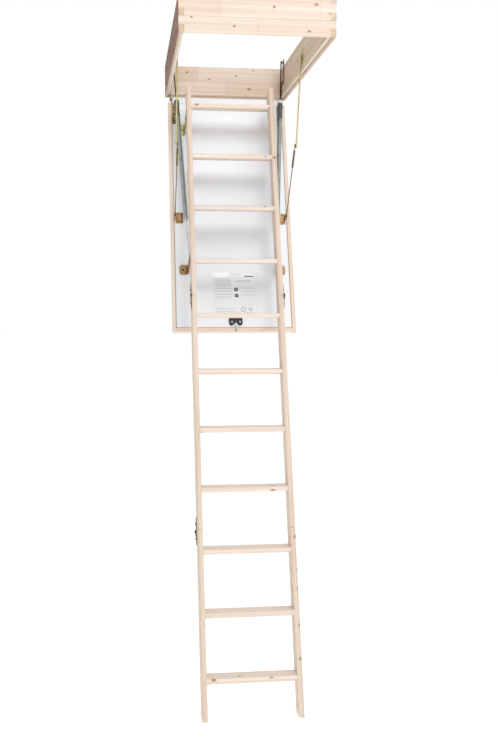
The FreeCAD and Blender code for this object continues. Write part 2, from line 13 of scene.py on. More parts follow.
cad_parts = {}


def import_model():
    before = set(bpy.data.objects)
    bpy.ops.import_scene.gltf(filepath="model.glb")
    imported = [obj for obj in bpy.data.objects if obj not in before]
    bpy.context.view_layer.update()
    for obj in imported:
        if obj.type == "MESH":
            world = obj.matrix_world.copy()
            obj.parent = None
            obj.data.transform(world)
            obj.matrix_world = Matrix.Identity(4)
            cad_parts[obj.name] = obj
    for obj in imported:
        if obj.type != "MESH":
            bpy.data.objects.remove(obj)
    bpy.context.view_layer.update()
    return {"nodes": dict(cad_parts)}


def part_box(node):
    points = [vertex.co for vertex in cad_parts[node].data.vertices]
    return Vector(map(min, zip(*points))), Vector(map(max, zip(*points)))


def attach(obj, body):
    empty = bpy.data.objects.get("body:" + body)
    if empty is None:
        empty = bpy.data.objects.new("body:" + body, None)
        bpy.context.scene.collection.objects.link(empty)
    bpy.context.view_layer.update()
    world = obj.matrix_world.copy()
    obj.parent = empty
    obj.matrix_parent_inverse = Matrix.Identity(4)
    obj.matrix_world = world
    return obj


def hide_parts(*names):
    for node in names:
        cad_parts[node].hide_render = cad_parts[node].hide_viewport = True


LOG = logging.getLogger("attic_ladder")

Pair = tuple[float, float]
Point = tuple[float, float, float]
Colour = tuple[float, float, float, float]
Limits = tuple[float, float, float, float]
Profile = tuple[Pair, ...]
Piece = bpy.types.Object
Material = bpy.types.Material
Tree = bpy.types.NodeTree
Node = bpy.types.Node
Socket = bpy.types.NodeSocket

# The ladder's slope, the lid's hinge line, and the faces that fittings sit on, in metres.
SLOPE_DEG = 70.8
COS = math.cos(math.radians(SLOPE_DEG))
SIN = math.sin(math.radians(SLOPE_DEG))
HINGE_Y = 0.575
CEILING = 2.692
PANEL_N = -0.002
RAIL_X = 0.2085
PLATE = 0.0025

DOWN = np.array((0.0, -COS, -SIN))
OUT = np.array((0.0, -SIN, COS))
ACROSS = np.array((1.0, 0.0, 0.0))
UP = np.array((0.0, 0.0, 1.0))

# Meshes: sharpest angle still shaded smoothly, steps of a softened edge, least divisor of a
# mitre, and the length under which two directions count as parallel.
SMOOTH_DEG = 35.0
EDGE_STEPS = 4
LEAST_MITRE = 0.4
PARALLEL = 1e-3

# Sockets of the Mix node's colour inputs and output, and its settings.
FACTOR, COLOUR_A, COLOUR_B, COLOUR_OUT = 0, 6, 7, 2
BLEND = {"data_type": "RGBA", "blend_type": "MIX"}
MULTIPLY = {"data_type": "RGBA", "blend_type": "MULTIPLY"}


class Side(Enum):
    """Which side of the ladder a fitting is on; the value is the sign of X."""

    LEFT = -1
    RIGHT = 1

    @property
    def word(self) -> str:
        """Word used in node and body names."""
        return self.name.lower()

    @property
    def flip(self) -> np.ndarray:
        """Factors that carry a right-hand position to this side."""
        return np.array((self.value, 1.0, 1.0))


class Grain(Enum):
    """Direction of the wood grain; the value turns that direction onto local Z."""

    SLOPE = (math.radians(90.0 - SLOPE_DEG), 0.0, 0.0)
    ACROSS = (0.0, math.radians(-90.0), 0.0)
    ALONG = (math.radians(90.0), 0.0, 0.0)


def slope_point(x: float, t: float, n: float) -> np.ndarray:
    """Turn slope coordinates into a position.

    P = (x, HINGE_Y - t cos a - n sin a, CEILING - t sin a + n cos a)

    Args:
        x: Distance across the ladder.
        t: Distance down the slope.
        n: Height above the lid's inner face.

    Returns:
        The position.
    """
    return np.array((x, HINGE_Y - t * COS - n * SIN, CEILING - t * SIN + n * COS))


# --- Surfaces --------------------------------------------------------------------
@dataclass
class Surface:
    """Vertices and faces gathered for one mesh."""

    points: list[np.ndarray] = field(default_factory=list)
    faces: list[list[int]] = field(default_factory=list)
    count: int = 0

    def add(self, points: np.ndarray, *groups: np.ndarray) -> None:
        """Append a closed shell.

        Args:
            points: Positions, in a grid of any shape.
            groups: Faces, a row each, with corners counted from this shell's first point.
        """
        self.points.append(points.reshape(-1, 3))
        for group in groups:
            self.faces.extend((group + self.count).tolist())
        self.count += len(self.points[-1])

    def piece(self, name: str) -> Piece:
        """Make the mesh object, with normals pointing outwards.

        Args:
            name: Name of the piece.

        Returns:
            The new object, at the origin.
        """
        mesh = bpy.data.meshes.new(name)
        mesh.from_pydata(np.concatenate(self.points).tolist(), [], self.faces)
        mesh.update()
        obj = bpy.data.objects.new(name, mesh)
        bpy.context.scene.collection.objects.link(obj)
        bm = bmesh.new()
        bm.from_mesh(mesh)
        bmesh.ops.recalc_face_normals(bm, faces=bm.faces)
        bm.to_mesh(mesh)
        bm.free()
        mesh.shade_smooth()
        mesh.set_sharp_from_angle(angle=math.radians(SMOOTH_DEG))
        return obj


def ring_faces(rings: int, segments: int) -> tuple[np.ndarray, np.ndarray]:
    """Faces of a stack of closed rings.

    Point j of ring i is number i segments + j, and joins point j + 1 and ring i + 1.

    Args:
        rings: Number of rings.
        segments: Points round each ring.

    Returns:
        The quads between the rings, and the caps on the first and last.
    """
    i, j = np.meshgrid(np.arange(rings - 1), np.arange(segments), indexing="ij")
    k = (j + 1) % segments
    quads = np.stack((i * segments + j, i * segments + k,
                      (i + 1) * segments + k, (i + 1) * segments + j), axis=-1)
    rim = np.arange(segments)
    return quads.reshape(-1, 4), np.stack((rim[::-1], rim + (rings - 1) * segments))


def basis(along: np.ndarray) -> tuple[np.ndarray, np.ndarray]:
    """Two unit vectors square to a direction and to each other.

    Args:
        along: Unit vector of the direction.

    Returns:
        The two vectors, the second being along x the first.
    """
    u = np.cross(along, ACROSS if abs(along[0]) < 0.9 else UP)
    u /= np.linalg.norm(u)
    return u, np.cross(along, u)


def turned(surface: Surface, a: np.ndarray, b: np.ndarray, profile: Profile,
           segments: int = 24, start: float = 0.0) -> None:
    """Add a solid of revolution on the line from a to b.

    P(s, q) = a + (start + s) e + r(s) (cos q u + sin q v)

    Args:
        surface: Surface to add to.
        a: Start of the axis.
        b: A point further along the axis.
        profile: Pairs of distance and radius.
        segments: Points round each ring.
        start: Distance from a that the profile's distances are counted from.
    """
    along = (b - a) / np.linalg.norm(b - a)
    u, v = basis(along)
    q = np.linspace(0.0, 2.0 * math.pi, segments, endpoint=False)
    s, r = np.array(profile).T
    circle = np.cos(q)[:, None] * u + np.sin(q)[:, None] * v
    points = a + (start + s)[:, None, None] * along + r[:, None, None] * circle
    surface.add(points, *ring_faces(len(s), segments))


def chamfered(surface: Surface, a: np.ndarray, b: np.ndarray, ends: Pair, radii: Pair,
              chamfer: float, segments: int = 16) -> None:
    """Add a bar with chamfered ends on the line from a to b, as a solid of revolution.

    Args:
        surface: Surface to add to.
        a: Start of the axis.
        b: A point further along the axis.
        ends: Distances of the bar's two ends from a.
        radii: Radius at the ends, and of the bar.
        chamfer: Length of each chamfer.
        segments: Points round the bar.
    """
    (first, last), (nose, full) = ends, radii
    turned(surface, a, b, ((first, nose), (first + chamfer, full), (last - chamfer, full),
                           (last, nose)), segments)


def coiled(surface: Surface, a: np.ndarray, b: np.ndarray, radius: float, wire: float,
           turns: int, steps: int = 16, sides: int = 6) -> None:
    """Add a helical wire round the line from a to b.

    C(w) = a + (b - a) w / (2 pi turns) + radius (cos w u + sin w v), and the wire is
    a circle of the wire's radius in the plane of the spoke and the axis.

    Args:
        surface: Surface to add to.
        a: Start of the axis.
        b: End of the axis.
        radius: Radius of the helix to the middle of the wire.
        wire: Radius of the wire.
        turns: Number of turns.
        steps: Points per turn.
        sides: Points round the wire.
    """
    along = (b - a) / np.linalg.norm(b - a)
    u, v = basis(along)
    w = np.linspace(0.0, 2.0 * math.pi * turns, turns * steps + 1)
    radial = np.cos(w)[:, None] * u + np.sin(w)[:, None] * v
    centre = a + (w / w[-1])[:, None] * (b - a) + radius * radial
    q = np.linspace(0.0, 2.0 * math.pi, sides, endpoint=False)
    points = (centre[:, None, :] + wire * np.cos(q)[None, :, None] * radial[:, None, :]
              + wire * np.sin(q)[None, :, None] * along)
    surface.add(points, *ring_faces(len(w), sides))


def bent_rod(surface: Surface, path: np.ndarray, radius: float, sides: int = 10) -> None:
    """Add a round rod along a polyline.

    P(i, q) = path(i) + radius (cos q N(i) + sin q B(i)), with N square to the path.

    Args:
        surface: Surface to add to.
        path: Points of the centre line, one row each.
        radius: Radius of the rod.
        sides: Points round the rod.
    """
    tangent = np.gradient(path, axis=0)
    tangent /= np.linalg.norm(tangent, axis=1)[:, None]
    normal = np.cross(tangent, ACROSS)
    weak = np.linalg.norm(normal, axis=1) < PARALLEL
    normal[weak] = np.cross(tangent[weak], UP)
    normal /= np.linalg.norm(normal, axis=1)[:, None]
    binormal = np.cross(tangent, normal)
    q = np.linspace(0.0, 2.0 * math.pi, sides, endpoint=False)
    points = (path[:, None, :] + radius * (np.cos(q)[None, :, None] * normal[:, None, :]
                                           + np.sin(q)[None, :, None] * binormal[:, None, :]))
    surface.add(points, *ring_faces(len(path), sides))


def slab(surface: Surface, outline: np.ndarray, origin: np.ndarray, u: np.ndarray,
         v: np.ndarray, thickness: float, edge: float) -> None:
    """Add a plate with softened top and bottom edges.

    Ring k is the outline drawn in by d(k) and raised by h(k) along w = u x v, with (d, h)
    following a quarter circle of radius edge at both faces.

    Args:
        surface: Surface to add to.
        outline: Corners in (u, v), counter-clockwise.
        origin: Position of outline point (0, 0) on the bottom face.
        u: Unit vector of the outline's first axis.
        v: Unit vector of the outline's second axis.
        thickness: Height of the plate.
        edge: Radius of the softened edges.
    """
    ahead = np.roll(outline, -1, axis=0) - outline
    ahead /= np.linalg.norm(ahead, axis=1)[:, None]
    both = ahead + np.roll(ahead, 1, axis=0)
    inward = np.stack((-both[:, 1], both[:, 0]), axis=1)
    inward /= np.maximum(np.sum(inward * inward, axis=1) / 2.0, LEAST_MITRE)[:, None]
    angles = np.linspace(0.0, math.pi / 2.0, EDGE_STEPS)
    draw, rise = edge * (1.0 - np.sin(angles)), edge * (1.0 - np.cos(angles))
    draw = np.concatenate((draw, draw[::-1]))
    rise = np.concatenate((rise, thickness - rise[::-1]))
    flat = outline + draw[:, None, None] * inward
    points = (origin + flat[..., :1] * u + flat[..., 1:] * v
              + rise[:, None, None] * np.cross(u, v))
    surface.add(points, *ring_faces(len(draw), len(outline)))


def rounded_outline(x0: float, x1: float, y0: float, y1: float, radius: float,
                    steps: int = 5) -> np.ndarray:
    """Rectangle with rounded corners.

    Each corner is a quarter circle, middle + radius (cos q, sin q), and the four start at
    q = -90, 0, 90 and 180 degrees.

    Args:
        x0: Least x.
        x1: Greatest x.
        y0: Least y.
        y1: Greatest y.
        radius: Radius of the corners.
        steps: Points on each corner.

    Returns:
        Corners, counter-clockwise, one row each.
    """
    left, right, low, high = x0 + radius, x1 - radius, y0 + radius, y1 - radius
    middles = np.array(((right, low), (right, high), (left, high), (left, low)))
    quarter = math.pi / 2.0
    q = (np.arange(4) - 1.0)[:, None] * quarter + np.linspace(0.0, quarter, steps)
    return (middles[:, None] + radius * np.stack((np.cos(q), np.sin(q)), -1)).reshape(-1, 2)


def screw(surface: Surface, centre: np.ndarray, out: np.ndarray, radius: float = 0.0042,
          high: float = 0.0018) -> None:
    """Add a pan-head screw with a sunk driving socket, as a solid of revolution.

    Args:
        surface: Surface to add to.
        centre: Middle of the head's seat.
        out: Direction the head faces.
        radius: Radius of the head.
        high: Height of the head.
    """
    shape = np.array(((0.0, 1.0), (0.35, 1.0), (0.75, 0.86), (1.0, 0.58), (1.0, 0.36),
                      (0.35, 0.3), (0.3, 0.04)))
    turned(surface, centre, centre + out, shape * (high, radius), 16)


# --- Finishes ------------------------------------------------------------------------
def linear(code: str) -> Colour:
    """Turn an sRGB colour to linear.

    Args:
        code: Hex code.

    Returns:
        The linear colour, with alpha.
    """
    raw = np.array([int(code[i:i + 2], 16) for i in (1, 3, 5)]) / 255.0
    flat = np.where(raw <= 0.04045, raw / 12.92, ((raw + 0.055) / 1.055) ** 2.4)
    return float(flat[0]), float(flat[1]), float(flat[2]), 1.0


def grey(value: float) -> Colour:
    """Grey colour of a linear value."""
    return value, value, value, 1.0


def add_node(tree: Tree, kind: str, links: dict | None = None,
             stops: tuple[tuple[float, Colour], ...] = (), **settings: object) -> Node:
    """Add a shader node.

    Args:
        tree: Node tree to add to.
        kind: Node type name without the ShaderNode prefix.
        links: Input name or number to a value, or to an output socket to link from.
        stops: Positions and colours, where the node has a colour ramp.
        settings: Node properties.

    Returns:
        The new node.
    """
    node = tree.nodes.new("ShaderNode" + kind)
    for name, value in settings.items():
        setattr(node, name, value)
    for k, (position, colour) in enumerate(stops):
        ramp = node.color_ramp.elements
        stop = ramp[k] if k < len(ramp) else ramp.new(position)
        stop.position, stop.color = position, colour
    for key, value in (links or {}).items():
        if isinstance(value, Socket):
            tree.links.new(value, node.inputs[key])
        else:
            node.inputs[key].default_value = value
    return node


def new_material(name: str, **values: object) -> tuple[Material, Tree, Node]:
    """Start a node material.

    Args:
        name: Name of the material.
        values: Constants of the shader's own sockets, with _ for a space in their names.

    Returns:
        The material, its tree and its shader.
    """
    material = bpy.data.materials.new(name)
    material.use_nodes = True
    shader = material.node_tree.nodes["Principled BSDF"]
    for key, value in values.items():
        shader.inputs[key.replace("_", " ")].default_value = value
    return material, material.node_tree, shader


@dataclass(frozen=True)
class Spruce:
    """Planed, unvarnished spruce: pale early wood, thin late wood, knots, glued lamellas."""

    name: str
    grain: Grain
    early: str = "#F3EAE2"
    late: str = "#DCC4AA"
    knot: str = "#9C6B48"
    ring_mm: float = 5.0
    contrast: float = 0.5
    knots_across: float = 11.0
    knots_along: float = 7.5
    knot_size: float = 0.055
    knot_share: float = 0.5
    roughness: float = 0.56
    pith: Point = (0.075, 0.052, 0.0)
    lamella: Point = (0.0, 0.0, 0.0)
    rough_outside: bool = False

    def build(self) -> Material:
        """Make the material.

        Returns:
            The finished material.
        """
        material, tree, shader = new_material(self.name, Roughness=self.roughness,
                                              Specular_IOR_Level=0.35)
        coords = add_node(tree, "TexCoord").outputs["Object"]
        local = add_node(tree, "Mapping", {"Vector": coords,
                                           "Rotation": self.grain.value}).outputs["Vector"]
        axes = add_node(tree, "SeparateXYZ", {0: local})
        # The two directions across the grain are added, so a knot runs on round an arris.
        across = add_node(tree, "Math", {0: axes.outputs["X"], 1: axes.outputs["Y"]},
                          operation="ADD").outputs[0]
        along = axes.outputs["Z"]
        knots = self.knots(tree, across, along)
        rings = self.rings(tree, local, knots.outputs["Distance"])
        strands = add_node(tree, "Mapping", {"Vector": local,
                                             "Scale": (1.0, 1.0, 0.02)}).outputs["Vector"]
        # Real fibres are 0.05 mm wide; they are drawn about 1.5 mm wide so that they show.
        fibres = add_node(tree, "TexNoise", {"Vector": strands, "Scale": 650.0, "Detail": 3.0,
                                             "Roughness": 0.6}).outputs["Fac"]
        streaks = add_node(tree, "TexNoise", {"Vector": strands, "Scale": 60.0, "Detail": 4.0,
                                              "Roughness": 0.55}).outputs["Fac"]
        late = add_node(tree, "ValToRGB", {0: rings}, (
            (0.0, grey(0.0)), (0.55, grey(0.12)), (0.92, grey(1.0)), (1.0, grey(0.1))))
        strength = add_node(tree, "Math", {0: late.outputs[0], 1: self.contrast},
                            operation="MULTIPLY")
        wood = add_node(tree, "Mix", {
            FACTOR: strength.outputs[0], COLOUR_A: linear(self.early),
            COLOUR_B: linear(self.late)}, **BLEND).outputs[COLOUR_OUT]
        tone = add_node(tree, "ValToRGB", {0: streaks}, ((0.3, linear("#EBDDD0")),
                                                         (0.7, linear("#FFFFFF"))))
        fine = add_node(tree, "ValToRGB", {0: fibres}, ((0.25, grey(0.86)), (0.75, grey(1.0))))
        for share, veil in ((0.85, tone), (0.6, fine)):
            wood = add_node(tree, "Mix", {FACTOR: share, COLOUR_A: wood,
                                          COLOUR_B: veil.outputs[0]},
                            **MULTIPLY).outputs[COLOUR_OUT]
        if self.lamella[0] > 0.0:
            wood = self.glued(tree, across, along, wood)
        wood = self.knotted(tree, knots, wood)
        if self.rough_outside:
            wood = self.outside(tree, coords, wood)
        tree.links.new(wood, shader.inputs["Base Color"])
        height = add_node(tree, "Math", {0: rings, 1: fibres}, operation="ADD")
        bump = add_node(tree, "Bump", {"Height": height.outputs[0], "Strength": 0.25,
                                       "Distance": 0.0004})
        tree.links.new(bump.outputs["Normal"], shader.inputs["Normal"])
        return material

    def rings(self, tree: Tree, local: Socket, reach: Socket) -> Socket:
        """Year rings about the pith, pushed aside by the knots.

        Args:
            tree: Node tree to add to.
            local: Coordinates with the grain along Z.
            reach: Distance from the nearest knot's middle.

        Returns:
            How late in its year the wood grew, from 0 to 1.
        """
        near = add_node(tree, "MapRange", {
            "Value": reach, "From Min": self.knot_size * 4.0, "From Max": 0.0,
            "To Min": 0.0, "To Max": 1.0}, interpolation_type="SMOOTHSTEP")
        bulge = add_node(tree, "VectorMath", {0: (0.006, 0.006, 0.0),
                                              "Scale": near.outputs[0]}, operation="SCALE")
        flow = add_node(tree, "VectorMath", {0: local, 1: bulge.outputs[0]}, operation="ADD")
        drawn = add_node(tree, "Mapping", {"Vector": flow.outputs[0], "Location": self.pith,
                                           "Scale": (1.0, 1.0, 0.09)})
        return add_node(tree, "TexWave", {
            "Vector": drawn.outputs["Vector"], "Scale": math.pi / (0.01 * self.ring_mm),
            "Distortion": 5.0, "Detail": 2.0, "Detail Scale": 0.06, "Detail Roughness": 0.6},
            wave_type="RINGS", rings_direction="Z", wave_profile="SAW").outputs["Fac"]

    def knots(self, tree: Tree, across: Socket, along: Socket) -> Node:
        """Scatter knot centres over the faces, one to a cell.

        Args:
            tree: Node tree to add to.
            across: Distance across the grain.
            along: Distance along the grain.

        Returns:
            The node with the distance from the nearest centre.
        """
        u = add_node(tree, "Math", {0: across, 1: self.knots_across}, operation="MULTIPLY")
        v = add_node(tree, "Math", {0: along, 1: self.knots_along}, operation="MULTIPLY")
        cell = add_node(tree, "CombineXYZ", {0: u.outputs[0], 1: v.outputs[0]})
        return add_node(tree, "TexVoronoi", {"Vector": cell.outputs[0], "Scale": 1.0},
                        feature="F1", voronoi_dimensions="2D")

    def knotted(self, tree: Tree, knots: Node, wood: Socket) -> Socket:
        """Lay brown knots with a dark rim and a soft halo, in a share of the cells.

        Args:
            tree: Node tree to add to.
            knots: The node with the distance from the nearest centre.
            wood: Colour without knots.

        Returns:
            Colour with knots.
        """
        traits = add_node(tree, "SeparateColor", {0: knots.outputs["Color"]})
        some = add_node(tree, "Math", {0: traits.outputs[0], 1: 1.0 - self.knot_share},
                        operation="GREATER_THAN")
        size = add_node(tree, "MapRange", {"Value": traits.outputs[1], "To Min": 1.9,
                                           "To Max": 0.8})
        reach = add_node(tree, "Math", {0: knots.outputs["Distance"], 1: size.outputs[0]},
                         operation="MULTIPLY")
        r = self.knot_size
        body = add_node(tree, "ValToRGB", {0: reach.outputs[0]}, (
            (0.0, grey(0.9)), (r * 0.8, grey(0.7)), (r, grey(1.0)), (r * 1.3, grey(0.3)),
            (r * 2.6, grey(0.0))))
        share = add_node(tree, "Math", {0: body.outputs[0], 1: some.outputs[0]},
                         operation="MULTIPLY")
        return add_node(tree, "Mix", {
            FACTOR: share.outputs[0], COLOUR_A: wood, COLOUR_B: linear(self.knot)},
            **BLEND).outputs[COLOUR_OUT]

    def glued(self, tree: Tree, across: Socket, along: Socket, wood: Socket) -> Socket:
        """Glue up lamellas with finger-jointed ends, each of a slightly different tone.

        Args:
            tree: Node tree to add to.
            across: Distance across the grain.
            along: Distance along the grain.
            wood: Colour of one plank.

        Returns:
            Colour of the glued board.
        """
        length, width, shift = self.lamella
        row = add_node(tree, "Math", {0: across, 1: shift}, operation="ADD")
        place = add_node(tree, "CombineXYZ", {0: along, 1: row.outputs[0]})
        lamellas = add_node(tree, "TexBrick", {
            "Vector": place.outputs[0], "Color1": linear("#FFFFFF"),
            "Color2": linear("#F6EEE7"), "Mortar": linear("#C4A88F"), "Scale": 1.0,
            "Mortar Size": 0.0005, "Mortar Smooth": 0.6, "Brick Width": length,
            "Row Height": width}, offset=0.37)
        return add_node(tree, "Mix", {
            FACTOR: 1.0, COLOUR_A: wood, COLOUR_B: lamellas.outputs["Color"]},
            **MULTIPLY).outputs[COLOUR_OUT]

    def outside(self, tree: Tree, coords: Socket, wood: Socket) -> Socket:
        """Streak the sawn outer faces, which face the joists, with brown and grey.

        Args:
            tree: Node tree to add to.
            coords: Object coordinates.
            wood: Colour of the planed faces.

        Returns:
            Colour of all faces.
        """
        place = add_node(tree, "SeparateXYZ", {0: coords})
        reach = add_node(tree, "Math", {0: place.outputs["X"]}, operation="ABSOLUTE")
        # Only the last 0.4 mm of the 600 mm wide frame is outer face.
        skin = add_node(tree, "Math", {0: reach.outputs[0], 1: 0.2996},
                        operation="GREATER_THAN")
        pulled = add_node(tree, "Mapping", {"Vector": coords, "Scale": (1.0, 0.12, 1.0)})
        saw = add_node(tree, "TexNoise", {"Vector": pulled.outputs[0], "Scale": 55.0,
                                          "Detail": 5.0, "Roughness": 0.7})
        sawn = add_node(tree, "ValToRGB", {0: saw.outputs["Fac"]}, (
            (0.34, linear("#3A3532")), (0.45, linear("#6C4835")), (0.6, linear("#8E6046")),
            (0.72, linear("#96908A"))))
        return add_node(tree, "Mix", {
            FACTOR: skin.outputs[0], COLOUR_A: wood, COLOUR_B: sawn.outputs[0]},
            **BLEND).outputs[COLOUR_OUT]


@dataclass(frozen=True)
class Coated:
    """Paint, film or moulded plastic: one colour with a faint mottle."""

    name: str
    light: str
    dark: str
    roughness: float
    mottle_mm: float
    bump: float = 0.05

    def build(self) -> Material:
        """Make the material.

        Returns:
            The finished material.
        """
        material, tree, shader = new_material(self.name, Roughness=self.roughness)
        coords = add_node(tree, "TexCoord").outputs["Object"]
        broad = add_node(tree, "TexNoise", {"Vector": coords, "Scale": 1000.0 / self.mottle_mm,
                                            "Detail": 3.0, "Roughness": 0.5})
        colour = add_node(tree, "ValToRGB", {0: broad.outputs["Fac"]},
                          ((0.35, linear(self.dark)), (0.65, linear(self.light))))
        tree.links.new(colour.outputs[0], shader.inputs["Base Color"])
        # A grain of 0.7 mm stands for one too fine to show.
        grain = add_node(tree, "TexNoise", {"Vector": coords, "Scale": 1400.0, "Detail": 2.0})
        bump = add_node(tree, "Bump", {"Height": grain.outputs["Fac"], "Strength": self.bump,
                                       "Distance": 0.0002})
        tree.links.new(bump.outputs["Normal"], shader.inputs["Normal"])
        return material


@dataclass(frozen=True)
class Plated:
    """Steel with a zinc skin, whose hue drifts between three tints."""

    name: str
    tints: tuple[str, str, str]
    roughness: float
    patch_mm: float = 14.0

    def build(self) -> Material:
        """Make the material.

        Returns:
            The finished material.
        """
        material, tree, shader = new_material(self.name, Metallic=1.0)
        coords = add_node(tree, "TexCoord").outputs["Object"]
        patches = add_node(tree, "TexNoise", {
            "Vector": coords, "Scale": 1000.0 / self.patch_mm, "Detail": 3.0,
            "Roughness": 0.55}).outputs["Fac"]
        colour = add_node(tree, "ValToRGB", {0: patches}, tuple(
            (at, linear(tint)) for at, tint in zip((0.32, 0.5, 0.68), self.tints)))
        tree.links.new(colour.outputs[0], shader.inputs["Base Color"])
        wear = add_node(tree, "MapRange", {
            "Value": patches, "From Min": 0.3, "From Max": 0.7,
            "To Min": self.roughness - 0.07, "To Max": self.roughness + 0.1})
        tree.links.new(wear.outputs[0], shader.inputs["Roughness"])
        # Grit of 1.1 mm stands for crystals too fine to show.
        grit = add_node(tree, "TexNoise", {"Vector": coords, "Scale": 900.0, "Detail": 2.0})
        bump = add_node(tree, "Bump", {"Height": grit.outputs["Fac"], "Strength": 0.08,
                                       "Distance": 0.0002})
        tree.links.new(bump.outputs["Normal"], shader.inputs["Normal"])
        return material


Finish = Spruce | Coated | Plated

# Unvarnished spruce with small tight knots, pale and almost matt.
LADDER_RAIL = Spruce("planed_spruce_rail", Grain.SLOPE, early="#E8DBCE", late="#D0B69C",
                     knots_along=8.5)
LADDER_TREAD = Spruce("planed_spruce_tread", Grain.ACROSS, pith=(0.03, 0.07, 0.0),
                      knots_across=13.0, knot_size=0.05)
# Glued spruce boards: a little browner, with more knots and visible joints.
FRAME_SIDE = Spruce("planed_spruce_frame_side", Grain.ALONG, early="#E0D1BD", late="#C2A98C",
                    knot="#84583C", knot_share=0.75, lamella=(0.42, 0.075, -0.003),
                    rough_outside=True)
FRAME_END = Spruce("planed_spruce_frame_end", Grain.ACROSS, early="#F1E8DF", late="#D5BDA6",
                   knot="#8C6145", knot_share=0.75, knot_size=0.045,
                   lamella=(0.38, 0.075, -0.003))
# Clear spruce edging strips: even, and nearly free of knots.
LID_EDGE = Spruce("planed_spruce_lid_edge", Grain.SLOPE, early="#F3E9DE", late="#DEC8B2",
                  knot_share=0.1)
LID_RAIL = Spruce("planed_spruce_lid_rail", Grain.ACROSS, early="#F3E9DE", late="#DEC8B2",
                  knot_share=0.1)
# Painted shade: a dull brown line round the white panel. It stands for the shadow in the recess
# where the panel meets the edging.
RECESS_SHADE = Coated("painted_recess_shade", "#B08B6C", "#97745A", 0.7, 5.0, 0.3)
# White lacquered hardboard: smooth, with a soft sheen that shows the ladder's shadow.
PANEL = Coated("lacquered_hardboard", "#EAEDF2", "#E8EBF1", 0.42, 180.0)
# Pressed insulation and foamed seal: open and crumbly, with no sheen.
FOAM = Coated("insulation_board", "#EFE9DC", "#E2DBCB", 0.8, 4.0, 0.4)
SEAL = Coated("seal_foam", "#F4F2F0", "#E6E3E0", 0.85, 6.0, 0.4)
# Satin film with printing in flat inks.
FILM = Coated("label_film", "#E8EBF0", "#E4E7ED", 0.45, 60.0)
BLANK = Coated("label_film_blank", "#F8FAFE", "#F6F8FD", 0.45, 60.0)
PRINT = Coated("label_print", "#BFC1C5", "#B3B5BA", 0.5, 8.0)
PRINT_DARK = Coated("label_print_dark", "#3F4043", "#333436", 0.5, 8.0)
# Moulded plastics: fine spark-eroded grain, edges that catch a narrow highlight.
NYLON = Coated("moulded_black_nylon", "#1B1B1C", "#111112", 0.42, 5.0, 0.2)
SLEEVE = Coated("moulded_grey_sleeve", "#5A5F5E", "#474C4B", 0.45, 6.0, 0.15)
END_CAP = Coated("moulded_pale_cap", "#E4EBF1", "#CCD8E2", 0.35, 6.0)
# Passivated zinc drifts from green to rose over a part, and is never one flat yellow.
YELLOW_ZINC = Plated("yellow_zinc_plate", ("#A8A068", "#CDC48E", "#B5AC7A"), 0.36)
ROSE_ZINC = Plated("rose_zinc_plate", ("#8F6A50", "#B18D6B", "#86804F"), 0.46, 9.0)
GREEN_ZINC = Plated("green_zinc_plate", ("#A39C58", "#C6BC7C", "#B98F60"), 0.36)
# The same skin gone dull and brown with age.
AGED_ZINC = Plated("aged_zinc_plate", ("#5F5638", "#83744C", "#75593F"), 0.42)
BRONZE_ZINC = Plated("dark_zinc_plate", ("#5F4E40", "#8A7256", "#6A5A4A"), 0.46, 9.0)
# Drawn wire: bright grey turns with dark gaps.
SPRING_STEEL = Plated("drawn_spring_steel", ("#98A09F", "#B7BEBC", "#A3ABA8"), 0.34, 30.0)
# Clear zinc: silvery, and the sharpest highlights of all.
BRIGHT_ZINC = Plated("bright_zinc_plate", ("#A9AEB1", "#C9CDCF", "#B8BCBF"), 0.3, 12.0)
# Blackened steel: small dark heads with a faint glint.
BLACK_SCREW = Plated("blackened_screw", ("#2A2724", "#3D3833", "#302C29"), 0.42, 5.0)


# --- Sub-assemblies ------------------------------------------------------------------
@dataclass
class Workshop:
    """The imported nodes, and each finish made once."""

    nodes: dict[str, Piece]
    made: dict[str, Material] = field(default_factory=dict)

    def of(self, finish: Finish) -> Material:
        """Find the material of a finish, or make it the first time.

        Args:
            finish: The finish.

        Returns:
            Its material.
        """
        if finish.name not in self.made:
            self.made[finish.name] = finish.build()
        return self.made[finish.name]

    def paint(self, finish: Finish, *names: str) -> None:
        """Put a finish on nodes that keep their own mesh.

        Args:
            finish: The finish.
            names: The nodes.
        """
        for name in names:
            data = self.nodes[name].data
            data.materials.clear()
            data.materials.append(self.of(finish))
            LOG.info("%s: %s", name, finish.name)

    def dress(self, surface: Surface, name: str, body: str, slot: str, finish: Finish,
              *nodes: str) -> None:
        """Make a new piece, with its body and finish.

        Args:
            surface: Its surface.
            name: Its name.
            body: Body it moves with.
            slot: Material slot of the record; not used.
            finish: Its finish.
            nodes: Nodes it stands for.
        """
        obj = surface.piece(name)
        obj.data.materials.append(self.of(finish))
        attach(obj, body)
        if nodes:
            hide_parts(*nodes)
        LOG.info("%s: %d vertices on %s", name, len(obj.data.vertices), body)


